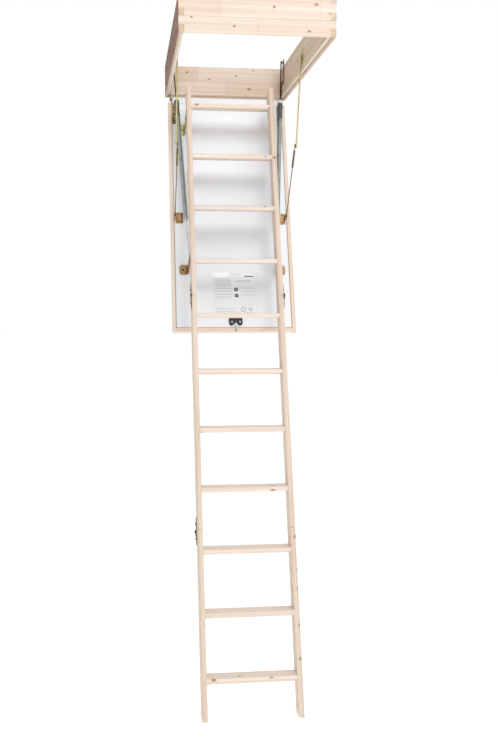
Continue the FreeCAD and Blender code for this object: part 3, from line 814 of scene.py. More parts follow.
@dataclass
class Timber:
    """Boards, rails, treads and lid, which keep their own meshes."""

    treads: int = 11
    panel: Pair = (0.041, 1.193)
    half: float = 0.2712
    # Width, thickness and sinking of the painted shade line where the panel meets the edging.
    shade_line: float = 0.0024
    shade_line_thick: float = 0.0017
    shade_line_sink: float = 0.0002
    facing_size: Pair = (0.528, 0.0325)
    facing_top: float = 0.0075
    facing_thick: float = 0.0005

    def build(self, shop: Workshop) -> None:
        """Finish every wooden node, the lid's panels and the seal.

        Args:
            shop: Nodes and finishes.
        """
        sides = [side.word for side in Side]
        shop.paint(LADDER_RAIL, *(f"section_{k}_rail_{s}" for k in (1, 2, 3) for s in sides))
        shop.paint(LADDER_TREAD, *(f"tread_{k:02d}" for k in range(1, self.treads + 1)))
        shop.paint(FRAME_SIDE, *(f"side_board_{s}" for s in sides))
        shop.paint(FRAME_END, "hinge_end_board", "latch_end_board")
        shop.paint(LID_EDGE, *(f"lid_stile_{s}" for s in sides))
        shop.paint(LID_RAIL, "lid_top_rail", "lid_bottom_rail")
        shop.paint(PANEL, "lid_inner_panel", "lid_outer_panel")
        shop.paint(FOAM, "lid_insulation")
        shop.paint(SEAL, "seal_strip")
        self.facing(shop)

    def facing(self, shop: Workshop) -> None:
        """White facing over the lid's top rail, and a dull brown strip round the panel that
        paints the shadow in the recess at its edge.

        Args:
            shop: Nodes and finishes.
        """
        white = Surface()
        wide, tall = self.facing_size
        slab(white, rounded_outline(0.0, wide, 0.0, tall, 0.001),
             slope_point(wide / 2.0, self.facing_top, 0.0), -ACROSS, DOWN, self.facing_thick,
             self.facing_thick / 5.0)
        shop.dress(white, "lid_top_facing", "lid", "white_panel", PANEL)
        low, high = self.panel
        wide, tall, shade_line = 2.0 * self.half, high - low, self.shade_line
        # Painted shade: brown strips on the panel along its two sides and lower end, for the
        # shadow in the recess under the edging.
        edge = Surface()
        for x, t, across, down in (
                (-self.half + shade_line, low, shade_line, tall), (self.half, low, shade_line, tall),
                (self.half - shade_line, high - shade_line, wide - 2.0 * shade_line, shade_line)):
            slab(edge, rounded_outline(0.0, across, 0.0, down, shade_line * 0.3, 3),
                 slope_point(x, t, PANEL_N - self.shade_line_sink), -ACROSS, DOWN, self.shade_line_thick,
                 self.shade_line_sink * 2.0)
        shop.dress(edge, "lid_panel_shade_line", "lid", "lid_edging", RECESS_SHADE)


@dataclass
class Springs:
    """Tension springs: coil, dark sleeve, pale cap, sliding rod and wire with a loop.

    The ferrule's distances are from the coil's start, the sleeve's and the cap's from their
    own lower ends, and the rod eye's from its outer face.
    """

    foot: Point = (0.2035, 0.900, 0.040)
    head: Point = (0.265, 0.522, 2.857)
    coil_radius: float = 0.0098
    wire: float = 0.0013
    pitch: float = 0.0029
    start: float = 0.225
    end: float = 0.842
    sleeve_long: float = 0.075
    cap_long: float = 0.018
    ferrule: Profile = ((-0.012, 0.0030), (-0.006, 0.0065), (0.0, 0.0103), (0.006, 0.0106),
                        (0.012, 0.0086), (0.03, 0.0084))
    sleeve: Profile = ((-0.004, 0.0112), (-0.003, 0.0121), (0.004, 0.0123), (0.006, 0.0116),
                       (0.045, 0.0116), (0.047, 0.0126), (0.073, 0.0126), (0.075, 0.0118))
    cap: Profile = ((0.0, 0.0116), (0.0015, 0.0128), (0.008, 0.0128), (0.014, 0.0106),
                    (0.017, 0.0072), (0.018, 0.0050))
    rod: float = 0.003
    rod_noses: Pair = (0.0022, 0.0024)
    rod_start: float = 0.70
    rod_eye: Profile = ((0.0, 0.0058), (0.0008, 0.0070), (0.0042, 0.0070), (0.005, 0.0058))
    link: float = 0.0016
    loop: float = 0.0046
    loop_gap: Pair = (0.15, 0.35)
    lead: Pair = (0.012, 0.008)

    def build(self, shop: Workshop) -> None:
        """Build both springs."""
        for side in Side:
            self.build_side(shop, side)

    def build_side(self, shop: Workshop, side: Side) -> None:
        """Build one spring.

        Args:
            shop: Nodes and finishes.
            side: Side of the ladder.
        """
        word = side.word
        body, rides = f"spring_{word}", f"spring_rod_{word}"
        foot = slope_point(*self.foot) * side.flip
        head = np.array(self.head) * side.flip
        reach = float(np.linalg.norm(head - foot))
        along = (head - foot) / reach
        top = self.end - self.cap_long
        low = top - self.sleeve_long

        coil = Surface()
        coiled(coil, foot + along * self.start, foot + along * low, self.coil_radius,
               self.wire, round((low - self.start) / self.pitch))
        turned(coil, foot, head, self.ferrule, start=self.start)
        shop.dress(coil, f"spring_coil_body_{word}", body, "spring_steel", SPRING_STEEL,
                   f"spring_coil_{word}")
        for name, profile, start, finish in (("sleeve", self.sleeve, low, SLEEVE),
                                             ("cap", self.cap, top, END_CAP)):
            cover = Surface()
            turned(cover, foot, head, profile, 32, start)
            shop.dress(cover, f"spring_{name}_{word}", body, "spring_steel", finish)

        rod = Surface()
        lower, upper = self.rod_noses
        turned(rod, foot, head, (
            (self.rod_start, lower), (self.rod_start + 0.002, self.rod),
            (reach - 0.009, self.rod), (reach - 0.006, upper)), 16)
        flat = ACROSS * (self.rod_eye[-1][0] / 2.0)
        turned(rod, head - flat, head + flat, self.rod_eye)
        shop.dress(rod, f"spring_top_rod_{word}", rides, "bright_steel", BLACK_SCREW, rides)
        shop.dress(self.hook(foot, along), f"spring_hook_{word}", body, "bright_steel",
                   BRIGHT_ZINC, f"spring_wire_{word}")

    def hook(self, foot: np.ndarray, along: np.ndarray) -> Surface:
        """Shape the wire: an open loop round the foot, then straight up to the coil.

        The loop is foot + loop (cos q v + sin q u), in the plane square to the pin.

        Args:
            foot: Middle of the loop.
            along: Unit vector up the spring.

        Returns:
            The surface of the wire.
        """
        before, after = self.loop_gap
        q = np.linspace(before, 2.0 * math.pi - after, 28)
        u = np.cross(ACROSS, along)
        u /= np.linalg.norm(u)
        loop = foot + self.loop * (np.cos(q)[:, None] * np.cross(u, ACROSS)
                                   + np.sin(q)[:, None] * u)
        first, short = self.lead
        lead = np.linspace(first, self.start - short, 12)[:, None] * along + foot
        wire = Surface()
        bent_rod(wire, np.concatenate((loop, lead)), self.link)
        return wire


@dataclass
class Stays:
    """Folding stays: a rod with flat eyes, and a rod with a threaded tension sleeve."""

    top: Point = (0.2722, -0.009, 2.7665)
    elbow_y: float = 0.107
    elbow_z: float = 2.3915
    upper_x: float = 0.2722
    lower_x: float = 0.2662
    foot: Pair = (0.640, 0.025)
    eye: float = 0.009
    eye_round: Pair = (0.0007, 0.0009)
    upper_rod: float = 0.0033
    upper_eye: float = 0.0022
    lower_rod: float = 0.0022
    pin: float = 0.0039
    past_eye: float = 0.0026
    sleeve: Pair = (0.032, 0.104)
    nut_long: float = 0.008
    nut_starts: Pair = (0.025, 0.103)
    core: float = 0.0036
    sleeve_rod: float = 0.0048
    nut_rod: float = 0.0050

    def build(self, shop: Workshop) -> None:
        """Build both stays.

        Args:
            shop: Nodes and finishes.
        """
        for side in Side:
            self.build_upper(shop, side)
            self.build_lower(shop, side)

    def eye_disc(self, surface: Surface, centre: np.ndarray, half: float) -> None:
        """Add a flat eye with softened edges.

        Args:
            surface: Surface to add to.
            centre: Middle of the eye.
            half: Half its thickness.
        """
        run, drop = self.eye_round
        chamfered(surface, centre - ACROSS * half, centre + ACROSS * half, (0.0, 2.0 * half),
                  (self.eye - drop, self.eye), run, 28)

    def bolt_head(self, surface: Surface, centre: np.ndarray, out: np.ndarray,
                  high: float) -> None:
        """Add a domed pivot head.

        Args:
            surface: Surface to add to.
            centre: Middle of the head's seat.
            out: Direction the head faces.
            high: Height of the head.
        """
        turned(surface, centre, centre + out, (
            (0.0, 0.0058), (high * 0.4, 0.0060), (high * 0.8, 0.0045), (high, 0.0020)), 20)

    def build_upper(self, shop: Workshop, side: Side) -> None:
        """Build the upper link, from the frame plate to the elbow.

        Args:
            shop: Nodes and finishes.
            side: Side of the ladder.
        """
        top = np.array(self.top) * side.flip
        elbow = np.array((self.upper_x, self.elbow_y, self.elbow_z)) * side.flip
        reach = float(np.linalg.norm(elbow - top))
        link = Surface()
        chamfered(link, top, elbow, (0.005, reach - 0.005), (0.0016, self.upper_rod), 0.003)
        self.eye_disc(link, top, self.upper_eye)
        self.eye_disc(link, elbow, self.upper_eye)
        inward = -ACROSS * side.value
        self.bolt_head(link, top + inward * self.upper_eye, inward, self.upper_eye)
        body = f"stay_upper_{side.word}"
        shop.dress(link, f"stay_upper_link_{side.word}", body, "yellow_zinc", YELLOW_ZINC, body)

    def build_lower(self, shop: Workshop, side: Side) -> None:
        """Build the lower link, from the elbow to the lid bracket.

        Args:
            shop: Nodes and finishes.
            side: Side of the ladder.
        """
        elbow = np.array((self.lower_x, self.elbow_y, self.elbow_z)) * side.flip
        foot = slope_point(self.lower_x, *self.foot) * side.flip
        reach = float(np.linalg.norm(foot - elbow))
        link = Surface()
        chamfered(link, elbow, foot, (0.005, reach - 0.005), (0.0012, self.lower_rod), 0.002, 14)
        # The sleeve and its nuts are hexagon bar, so that a spanner can turn them.
        chamfered(link, elbow, foot, self.sleeve, (self.core, self.sleeve_rod), 0.002, 6)
        for start in self.nut_starts:
            chamfered(link, elbow, foot, (start, start + self.nut_long),
                      (self.core, self.nut_rod), 0.001, 6)
        self.eye_disc(link, elbow, self.lower_rod)
        self.eye_disc(link, foot, self.lower_rod)
        outward = ACROSS * side.value
        span = self.upper_x - self.lower_x + self.past_eye
        face = elbow + outward * span
        turned(link, elbow, face, ((0.0, self.pin), (span, self.pin)), 18)
        self.bolt_head(link, face, outward, 0.0010)
        body = f"stay_lower_{side.word}"
        shop.dress(link, f"stay_lower_link_{side.word}", body, "yellow_zinc", AGED_ZINC, body)


@dataclass
class LidBrackets:
    """Pressed brackets on the lid that hold the top section and the stays.

    The angles' sizes are their first and last t, and how far the foot reaches outwards.
    """

    uppers: Point = (0.155, 0.213, 0.031)
    lowers: Point = (0.883, 0.932, 0.042)
    angle_high: float = 0.148
    lap: float = 0.0012
    edge: float = 0.0006
    foot_corner: float = 0.012
    leg_corner: float = 0.008
    foot_screw: Pair = (0.0048, 0.0022)
    leg_screws: Pair = (0.112, 0.136)
    spring_pin: Pair = (0.900, 0.040)
    spring_peg: Profile = ((-0.001, 0.003), (0.0088, 0.003), (0.0094, 0.0022))
    stay_plate: Limits = (0.227, 0.2634, 0.618, 0.673)
    stay_pivot: Pair = (0.640, 0.025)
    ear_foot: float = 0.016
    ear_round: float = 0.010
    ear_edge: float = 0.0005
    stay_pin: Profile = ((-0.0005, 0.0039), (0.0055, 0.0039))
    stay_cap: Profile = ((0.0055, 0.0056), (0.0062, 0.0060), (0.0074, 0.0052),
                         (0.0080, 0.0028))
    stay_screws: tuple[Pair, Pair] = ((0.235, 0.252), (0.628, 0.663))

    def build(self, shop: Workshop) -> None:
        """Build the three pairs of brackets and their screws.

        Args:
            shop: Nodes and finishes.
        """
        for name, sizes, finish in (("upper_ladder_brackets", self.uppers, GREEN_ZINC),
                                    ("lower_ladder_brackets", self.lowers, ROSE_ZINC),
                                    ("stay_brackets", None, ROSE_ZINC)):
            metal, screws = Surface(), Surface()
            for side in Side:
                if sizes is None:
                    self.stay(metal, screws, side)
                else:
                    self.angle(metal, screws, side, sizes)
            shop.dress(metal, name + "_pressed", "lid", "yellow_zinc", finish, name)
            shop.dress(screws, name + "_screws", "lid", "dark_screws", BLACK_SCREW)

    def angle(self, metal: Surface, screws: Surface, side: Side, sizes: Point) -> None:
        """Add one angle bracket: a foot on the panel and a leg up the rail.

        Args:
            metal: Surface for the pressing.
            screws: Surface for its screws.
            side: Side of the ladder.
            sizes: First and last t, and the foot's reach outwards.
        """
        t0, t1, reach = sizes
        s = side.value
        # A slab grows along u x v, so u turns round with the side, and so does its start.
        first, last = (t0, t1) if s > 0 else (t1, t0)
        slab(metal, rounded_outline(0.0, t1 - t0, -self.lap, reach, self.foot_corner),
             slope_point(s * RAIL_X, first, PANEL_N), DOWN * s, ACROSS * s, PLATE, self.edge)
        slab(metal, rounded_outline(0.0, t1 - t0, 0.0, self.angle_high - PANEL_N,
                                    self.leg_corner),
             slope_point(s * RAIL_X, last, PANEL_N), DOWN * -s, OUT, PLATE, self.edge)
        middle = (t0 + t1) / 2.0
        screw(screws, slope_point(s * (RAIL_X + reach * 0.6), middle, PANEL_N + PLATE), OUT,
              *self.foot_screw)
        for n in self.leg_screws:
            screw(screws, slope_point(s * (RAIL_X + PLATE), middle, n), ACROSS * s)
        if sizes == self.lowers:
            pin = slope_point(s * RAIL_X, *self.spring_pin)
            turned(metal, pin, pin - ACROSS * s, self.spring_peg, 16)

    def stay(self, metal: Surface, screws: Surface, side: Side) -> None:
        """Add one stay bracket: a screwed plate with an upright ear.

        The ear's top is a half circle about the pivot, (r cos q, n + r sin q).

        Args:
            metal: Surface for the pressing.
            screws: Surface for its screws.
            side: Side of the ladder.
        """
        s = side.value
        x0, x1, t0, t1 = self.stay_plate
        slab(metal, rounded_outline(0.0, t1 - t0, 0.0, x1 - x0, 0.006),
             slope_point(s * x0, t0 if s > 0 else t1, PANEL_N), DOWN * s, ACROSS * s, PLATE,
             self.edge)
        t, n = self.stay_pivot
        q = np.linspace(0.0, math.pi, 13)
        r, foot = self.ear_round, self.ear_foot
        arch = np.stack((r * np.cos(q), n - PANEL_N + r * np.sin(q)), axis=1)
        slab(metal, np.concatenate((((-foot, 0.0), (foot, 0.0)), arch)),
             slope_point(s * (x1 - PLATE), t, PANEL_N), DOWN * -s, OUT, PLATE, self.ear_edge)
        pin = slope_point(s * x1, t, n)
        for profile in (self.stay_pin, self.stay_cap):
            turned(metal, pin, pin + ACROSS * s, profile, 18)
        columns, rows = self.stay_screws
        for x in columns:
            for at in rows:
                screw(screws, slope_point(s * x, at, PANEL_N + PLATE), OUT, 0.0032)


@dataclass
class Fittings:
    """Hinges, plates and screws that keep their own meshes, and their screw heads."""

    board_in: float = 0.278
    bracket_in: float = 0.018
    bracket_screws: Point = (2.730, 2.752, 2.774)
    anchor_in: float = 0.020
    anchor_screws: Point = (2.772, 2.802, 2.828)
    stay_face: float = 0.2761
    stay_spread: Pair = (0.015, 0.022)
    flush: Pair = (0.0036, 0.0005)
    strap_x: float = 0.2602
    strap_n: float = 0.001
    strap_t: Point = (0.062, 0.098, 0.134)

    def build(self, shop: Workshop) -> None:
        """Finish the metal nodes, and build the screw heads.

        Args:
            shop: Nodes and finishes.
        """
        shop.paint(AGED_ZINC, "hinge_straps", "hinge_brackets")
        shop.paint(YELLOW_ZINC, "stay_pivot_plates", "strike_plate")
        shop.paint(BRONZE_ZINC, "spring_anchors")
        self.frame_screws(shop)
        self.strap_screws(shop)

    def frame_screws(self, shop: Workshop) -> None:
        """Screw heads on the side boards' fittings.

        Args:
            shop: Nodes and finishes.
        """
        y_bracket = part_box("hinge_brackets")[0].y + self.bracket_in
        y_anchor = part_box("spring_anchors")[1].y - self.anchor_in
        spots = [(y_bracket, z) for z in self.bracket_screws]
        spots += [(y_anchor, z) for z in self.anchor_screws]
        _, y_stay, z_stay = Stays.top
        heads = Surface()
        for side in Side:
            s = side.value
            for y, z in spots:
                screw(heads, np.array((s * (self.board_in - PLATE), y, z)), -ACROSS * s)
            for dy in np.multiply(self.stay_spread[0], (-1.0, 1.0)):
                for dz in np.multiply(self.stay_spread[1], (-1.0, 1.0)):
                    # Flush heads, so that the stay can pass over them.
                    screw(heads, np.array((s * self.stay_face, y_stay + dy, z_stay + dz)),
                          -ACROSS * s, *self.flush)
        shop.dress(heads, "frame_screw_heads", "frame", "dark_screws", BLACK_SCREW,
                   "frame_screws")

    def strap_screws(self, shop: Workshop) -> None:
        """Screw heads on the hinge straps.

        Args:
            shop: Nodes and finishes.
        """
        heads = Surface()
        for side in Side:
            for t in self.strap_t:
                screw(heads, slope_point(side.value * self.strap_x, t, self.strap_n), OUT)
        shop.dress(heads, "strap_screw_heads", "lid", "dark_screws", BLACK_SCREW,
                   "strap_screws")


@dataclass
class FoldHinges:
    """Hinges between the ladder sections: a flat leaf, and one stepped over its partner."""

    splits: Pair = (1.09398, 2.13918)
    axes: Pair = (0.173, 0.091)
    lap: float = 0.0003
    sink: float = 0.0005
    edge: float = 0.0006
    ear: float = 0.009
    ear_arc: Pair = (100.0, 320.0)
    long: float = 0.058
    low: float = 0.004
    high: float = 0.034
    arm: float = 0.016
    neck: float = 0.002
    step: Pair = (0.013, 0.0195)
    corner: float = 0.006
    pin: float = 0.0039
    rivet: Profile = ((0.0004, 0.0062), (0.0009, 0.0065), (0.0018, 0.0054), (0.0024, 0.0024))
    bolt: Pair = (0.032, 0.019)
    bolt_head: Pair = (0.0058, 0.0034)

    def build(self, shop: Workshop) -> None:
        """Build the four pairs of leaves.

        Args:
            shop: Nodes and finishes.
        """
        for name, body, which, down, outer in (
                ("section_1_lower", "lid", 0, -1.0, False),
                ("section_2_upper", "section_2", 0, 1.0, True),
                ("section_2_lower", "section_2", 1, -1.0, False),
                ("section_3_upper", "section_3", 1, 1.0, True)):
            metal = Surface()
            for side in Side:
                self.leaf(metal, side.value, which, down, outer)
            shop.dress(metal, name + "_hinges", body, "bronze_zinc", BRONZE_ZINC,
                       name + "_leaves")

    def ear_outline(self) -> np.ndarray:
        """Round ear about the fold axis, ear (cos q, sin q) over most of a circle."""
        q = np.radians(np.linspace(*self.ear_arc, 20))
        return self.ear * np.stack((np.cos(q), np.sin(q)), axis=1)

    def plate_outline(self, start: float) -> np.ndarray:
        """Plate with rounded corners, from start to the leaf's end."""
        return rounded_outline(start, self.long, self.low, self.high, self.corner)

    def leaf(self, metal: Surface, s: float, which: int, down: float, outer: bool) -> None:
        """Add one leaf.

        Args:
            metal: Surface to add to.
            s: 1 for the right-hand rail, -1 for the left-hand one.
            which: Number of the split.
            down: 1 when the leaf runs down the slope from the axis, -1 when up.
            outer: Whether this leaf steps out over its partner's ear.
        """
        inward = -1.0 if which == 0 else 1.0
        split, axis = self.splits[which], self.axes[which]

        def lay(outline: np.ndarray, x: float, thick: float, edge: float) -> None:
            """Lay a plate flat on the rail.

            Args:
                outline: Corners, along the slope and off the axis.
                x: Distance of its inner face from the ladder's middle.
                thick: Its thickness.
                edge: Radius of its softened edges.
            """
            origin = slope_point(s * x, split, axis)
            u, v = DOWN * down, OUT * inward
            if np.cross(u, v)[0] * s > 0.0:
                slab(metal, outline, origin, u, v, thick, edge)
            else:
                slab(metal, outline[::-1, ::-1], origin, v, u, thick, edge)

        def across(centre: Pair, x: float) -> np.ndarray:
            """Point on the rail's side at a distance along and off the axis."""
            return slope_point(s * x, split + down * centre[0], axis + inward * centre[1])

        out = ACROSS * s
        raised = RAIL_X + PLATE + self.lap
        neck, arm, low, ear = self.neck, self.arm, self.low, self.ear_outline()
        if outer:
            near, far = self.step
            lay(np.concatenate((ear, ((far, 0.003), (far, arm), (neck, arm)))), raised, PLATE,
                self.edge)
            lay(self.plate_outline(near), RAIL_X, PLATE, self.edge)
            lay(rounded_outline(near + 0.001, far - 0.0005, low + 0.001, arm - 0.001, 0.001),
                RAIL_X + PLATE - self.sink, self.lap + 2.0 * self.sink, 0.0001)
        else:
            # The plate's last rounded corner gives way to the arm that carries the ear.
            plate = self.plate_outline(neck)[:-5]
            lay(np.concatenate((ear, ((0.012, low),), plate, ((neck, arm),))), RAIL_X, PLATE,
                self.edge)
            pin = across((0.0, 0.0), RAIL_X)
            top = raised + PLATE - RAIL_X
            turned(metal, pin, pin + out, ((0.0, self.pin), (top + 0.0005, self.pin)), 20)
            turned(metal, pin, pin + out, self.rivet, start=top)
        screw(metal, across(self.bolt, RAIL_X + PLATE), out, *self.bolt_head)


@dataclass
class Latch:
    """Black moulded latch case with two lobes and two screws, and its sprung tongue."""

    x: float = 0.006
    t: float = 1.164
    half: float = 0.031
    high: float = 0.034
    thick: float = 0.0092
    lobe: float = 0.011
    notch: Profile = ((0.0135, 0.0), (0.0105, -0.009), (0.0, -0.0115))
    ridge: Point = (0.009, 0.0034, 0.0012)
    boss: Profile = ((0.0, 0.0095), (0.0022, 0.0092), (0.003, 0.0080))
    boss_at: Pair = (0.019, 0.003)
    head: Pair = (0.0048, 0.0016)
    tongue: Limits = (-0.0034, 0.0034, -0.003, 0.049)
    tongue_n: float = 0.0015
    tongue_thick: float = 0.0036

    def outline(self) -> np.ndarray:
        """Outline of the case: two rounded lobes with a notch between them.

        The right half has a quarter circle, middle + lobe (cos q, sin q), and the left half
        is its mirror image, run backwards.

        Returns:
            Corners, one row each.
        """
        half, top, r = self.half, self.high / 2.0, self.lobe
        q = np.linspace(0.0, math.pi / 2.0, 6)
        lobe = np.stack((half - r + r * np.cos(q), top - r + r * np.sin(q)), axis=1)
        right = np.concatenate((((half, -top),), lobe, np.array(self.notch) + (0.0, top)))
        return np.concatenate((right, right[::-1][1:] * (-1.0, 1.0)))

    def build(self, shop: Workshop) -> None:
        """Build the case, its screws and its tongue.

        Args:
            shop: Nodes and finishes.
        """
        origin = slope_point(self.x, self.t, PANEL_N)
        case, heads, tongue = Surface(), Surface(), Surface()
        slab(case, self.outline(), origin, -ACROSS, DOWN, self.thick, 0.0015)
        wide, raised, edge = self.ridge
        low = -self.high / 2.0
        slab(case, rounded_outline(-self.half, self.half, low, low + wide, 0.003),
             origin + OUT * (self.thick - 0.002), -ACROSS, DOWN, raised, edge)
        aside, lower = self.boss_at
        for s in (-1.0, 1.0):
            seat = origin + ACROSS * s * aside + DOWN * lower
            boss = seat + OUT * (self.thick - 0.001)
            turned(case, boss, boss + OUT, self.boss, 28)
            screw(heads, seat + OUT * (self.thick + 0.0018), OUT, *self.head)
        shop.dress(case, "latch_case_moulded", "lid", "black_plastic", NYLON, "latch_case")
        shop.dress(heads, "latch_screws", "lid", "bright_steel", SPRING_STEEL)
        slab(tongue, rounded_outline(*self.tongue, 0.0026),
             slope_point(self.x, self.t, self.tongue_n), -ACROSS, DOWN, self.tongue_thick,
             self.tongue_thick / 4.0)
        shop.dress(tongue, "latch_tongue", "latch_bolt", "bright_steel", SPRING_STEEL,
                   "latch_bolt")


@dataclass
class Sheet:
    """Instruction film on the panel, printed with plain bars, discs and rings.

    Places on it are fractions of its width and height. The lines give their first and last
    x, then the t of each; the rings give x, t and radius.
    """

    limits: Limits = (-0.096, 0.119, 0.917, 1.131)
    thick: float = 0.0004
    ink: float = 0.00012
    header: Limits = (0.0, 0.36, 0.015, 0.125)
    footer: Limits = (0.70, 0.90, 0.09, 0.112)
    lines: tuple[tuple[float, ...], ...] = (
        (0.05, 0.40, 0.16, 0.19, 0.22, 0.25, 0.28, 0.31), (0.50, 0.84, 0.19, 0.22),
        (0.47, 0.60, 0.05), (0.05, 0.42, 0.38, 0.44, 0.52, 0.58),
        (0.60, 0.93, 0.37, 0.45, 0.53), (0.06, 0.50, 0.84, 0.90))
    line_high: float = 0.011
    discs: tuple[Pair, ...] = ((0.506, 0.407), (0.516, 0.552))
    disc: float = 0.0095
    disc_centre: float = 0.0028
    rings: tuple[Point, ...] = ((0.656, 0.865, 0.0105), (0.81, 0.865, 0.0075),
                                (0.75, 0.965, 0.006), (0.83, 0.965, 0.006))
    ring_line: float = 0.0018
    ring_points: int = 32

    def at(self, x: float, t: float, n: float) -> np.ndarray:
        """Point at fractions x and t of the sheet, at a height above the panel."""
        a, b, c, d = self.limits
        return slope_point(a + (b - a) * x, c + (d - c) * t, PANEL_N + n)

    def bar(self, surface: Surface, x0: float, x1: float, t0: float, t1: float) -> None:
        """Add one printed bar.

        Args:
            surface: Surface to add to.
            x0: First x.
            x1: Last x.
            t0: First t.
            t1: Last t.
        """
        a, b, c, d = self.limits
        wide, tall = (b - a) * (x1 - x0), (d - c) * (t1 - t0)
        slab(surface, rounded_outline(0.0, wide, 0.0, tall, min(0.0006, tall / 3.0), 3),
             self.at(x1, t0, self.thick - self.ink), -ACROSS, DOWN, self.ink * 2.0,
             self.ink * 0.2)

    def ring(self, surface: Surface, x: float, t: float, radius: float) -> None:
        """Add a printed ring.

        P(q, k) = centre + r(k) (cos q ACROSS + sin q DOWN) + h(k) OUT, where (r, h) goes
        round the four corners of the line's section.

        Args:
            surface: Surface to add to.
            x: Its middle's x.
            t: Its middle's t.
            radius: Its outer radius.
        """
        hole, count = radius - self.ring_line, self.ring_points
        q = np.linspace(0.0, 2.0 * math.pi, count, endpoint=False)
        spokes = np.cos(q)[:, None] * ACROSS + np.sin(q)[:, None] * DOWN
        radii = np.array((hole, radius, radius, hole))
        highs = self.ink * np.array((0.0, 0.0, 2.0, 2.0))
        points = (self.at(x, t, self.thick - self.ink) + radii[:, None] * spokes[:, None]
                  + highs[:, None] * OUT)
        i, j = np.meshgrid(np.arange(count), np.arange(4), indexing="ij")
        i2, j2 = (i + 1) % count, (j + 1) % 4
        quads = np.stack((i * 4 + j, i * 4 + j2, i2 * 4 + j2, i2 * 4 + j), axis=-1)
        surface.add(points, quads.reshape(-1, 4))

    def build(self, shop: Workshop) -> None:
        """Build the film and its printing.

        Args:
            shop: Nodes and finishes.
        """
        a, b, c, d = self.limits
        film, blank, pale, dark, white = (Surface() for _ in range(5))
        slab(film, rounded_outline(0.0, b - a, 0.0, d - c, 0.002), slope_point(b, c, PANEL_N),
             -ACROSS, DOWN, self.thick, self.thick / 4.0)
        self.bar(blank, *self.header)
        for x0, x1, *rows in self.lines:
            for t in rows:
                self.bar(pale, x0, x1, t, t + self.line_high)
        for x, t in self.discs:
            low, high = self.at(x, t, self.thick - self.ink), self.at(x, t, self.thick)
            turned(dark, low, low + OUT, ((0.0, self.disc), (self.ink * 2.0, self.disc)), 28)
            turned(white, high, high + OUT, ((0.0, self.disc_centre),
                                             (self.ink * 2.2, self.disc_centre)), 20)
        self.bar(dark, *self.footer)
        for x, t, radius in self.rings:
            self.ring(dark, x, t, radius)
        shop.dress(film, "instruction_film", "lid", "label_film", FILM, "instruction_label")
        for surface, name, finish in (
                (blank, "label_header", BLANK), (pale, "label_lines", PRINT),
                (dark, "label_discs", PRINT_DARK), (white, "label_disc_centres", FILM)):
            shop.dress(surface, name, "lid", "label_film", finish)


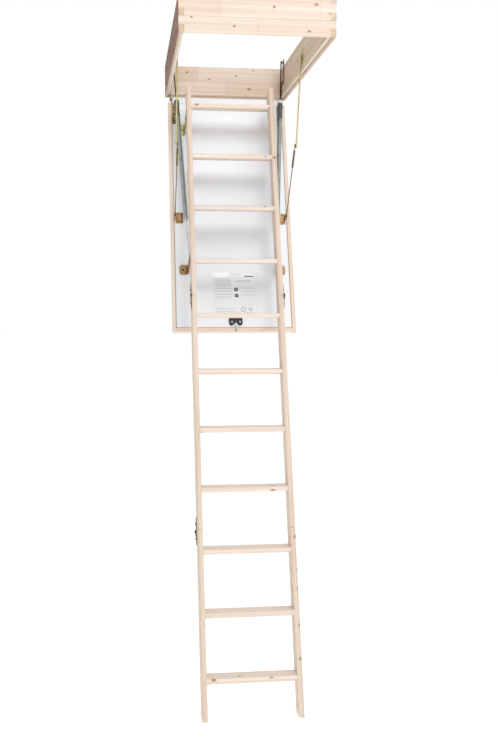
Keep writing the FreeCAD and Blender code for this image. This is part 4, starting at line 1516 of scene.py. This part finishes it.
# --- Studio ---------------------------------------------------------------------------
@dataclass
class Studio:
    """Camera, pale floor and soft light.

    The focal length is a multiple of the image's height. Each lamp has a name, a place, a
    point it faces, a width and a power.
    """

    eye: Point = (-0.5104, -4.4664, 1.6947)
    yaw: float = 7.1381
    pitch: float = 4.2692
    roll: float = 0.1039
    focal_of_height: float = 1006.77 / 750.0
    sensor_mm: float = 24.0
    far: float = 200.0
    floor_reach: float = 40.0
    floor_glow: float = 0.33
    surroundings: Pair = (0.73, 1.0)
    lamps: tuple[tuple[str, Point, Point, float, float], ...] = (
        ("key", (0.9, -3.3, 6.0), (0.0, 0.2, 2.0), 2.3, 100.0),
        ("fill", (1.8, -4.4, 1.6), (0.0, 0.2, 1.6), 3.0, 24.0))

    def build(self) -> None:
        """Set up the view and the light."""
        self.camera()
        self.floor()
        self.light()

    def camera(self) -> None:
        """Place the camera.

        F = (sin y cos p, cos y cos p, -sin p), R = (cos y, -sin y, 0), U = R x F, then R
        and U are turned about F by the roll.
        """
        y, p, r = (math.radians(v) for v in (self.yaw, self.pitch, self.roll))
        forward = np.array((math.sin(y) * math.cos(p), math.cos(y) * math.cos(p), -math.sin(p)))
        right = np.array((math.cos(y), -math.sin(y), 0.0))
        up = np.cross(right, forward)
        right, up = (right * math.cos(r) + up * math.sin(r),
                     up * math.cos(r) - right * math.sin(r))
        data = bpy.data.cameras.new("camera")
        data.sensor_fit = "VERTICAL"
        data.sensor_height = self.sensor_mm
        data.lens = self.sensor_mm * self.focal_of_height
        data.clip_end = self.far
        obj = bpy.data.objects.new("camera", data)
        place = np.eye(4)
        place[:3] = np.stack((right, up, -forward, self.eye), axis=1)
        obj.matrix_world = Matrix(place.tolist())
        bpy.context.scene.collection.objects.link(obj)
        bpy.context.scene.camera = obj

    def floor(self) -> None:
        """Lay the plain pale floor, which glows a little so that its far edge is lost."""
        far = self.floor_reach
        mesh = bpy.data.meshes.new("floor")
        mesh.from_pydata([(-far, -far, 0.0), (far, -far, 0.0), (far, far, 0.0),
                          (-far, far, 0.0)], [], [(0, 1, 2, 3)])
        obj = bpy.data.objects.new("floor", mesh)
        bpy.context.scene.collection.objects.link(obj)
        mesh.materials.append(new_material(
            "pale_floor", Base_Color=linear("#FBFBFA"), Emission_Color=linear("#FFFFFF"),
            Emission_Strength=self.floor_glow, Roughness=0.9)[0])

    def light(self) -> None:
        """Even white surroundings with one large soft key and a fill."""
        scene = bpy.context.scene
        scene.view_settings.view_transform = "Standard"
        world = bpy.data.worlds.new("studio")
        world.use_nodes = True
        tree = world.node_tree
        background = tree.nodes["Background"]
        background.inputs["Color"].default_value = grey(1.0)
        seen = add_node(tree, "LightPath").outputs["Is Camera Ray"]
        dim, full = self.surroundings
        strength = add_node(tree, "MapRange", {"Value": seen, "To Min": dim, "To Max": full})
        tree.links.new(strength.outputs[0], background.inputs["Strength"])
        scene.world = world
        for name, place, aim, size, power in self.lamps:
            lamp = bpy.data.lights.new(name, "AREA")
            lamp.size, lamp.energy = size, power
            obj = bpy.data.objects.new(name, lamp)
            obj.location = place
            facing = Vector(aim) - Vector(place)
            obj.rotation_euler = facing.to_track_quat("-Z", "Y").to_euler()
            scene.collection.objects.link(obj)


def main() -> None:
    """Build every sub-assembly in order."""
    logging.basicConfig(level=logging.INFO, format="%(name)s %(message)s")
    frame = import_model()
    shop = Workshop(frame["nodes"])
    for part in (Timber(), Springs(), Stays(), LidBrackets(), Fittings(), FoldHinges(), Latch(),
                 Sheet()):
        part.build(shop)
    Studio().build()


if __name__ == "__main__":
    main()
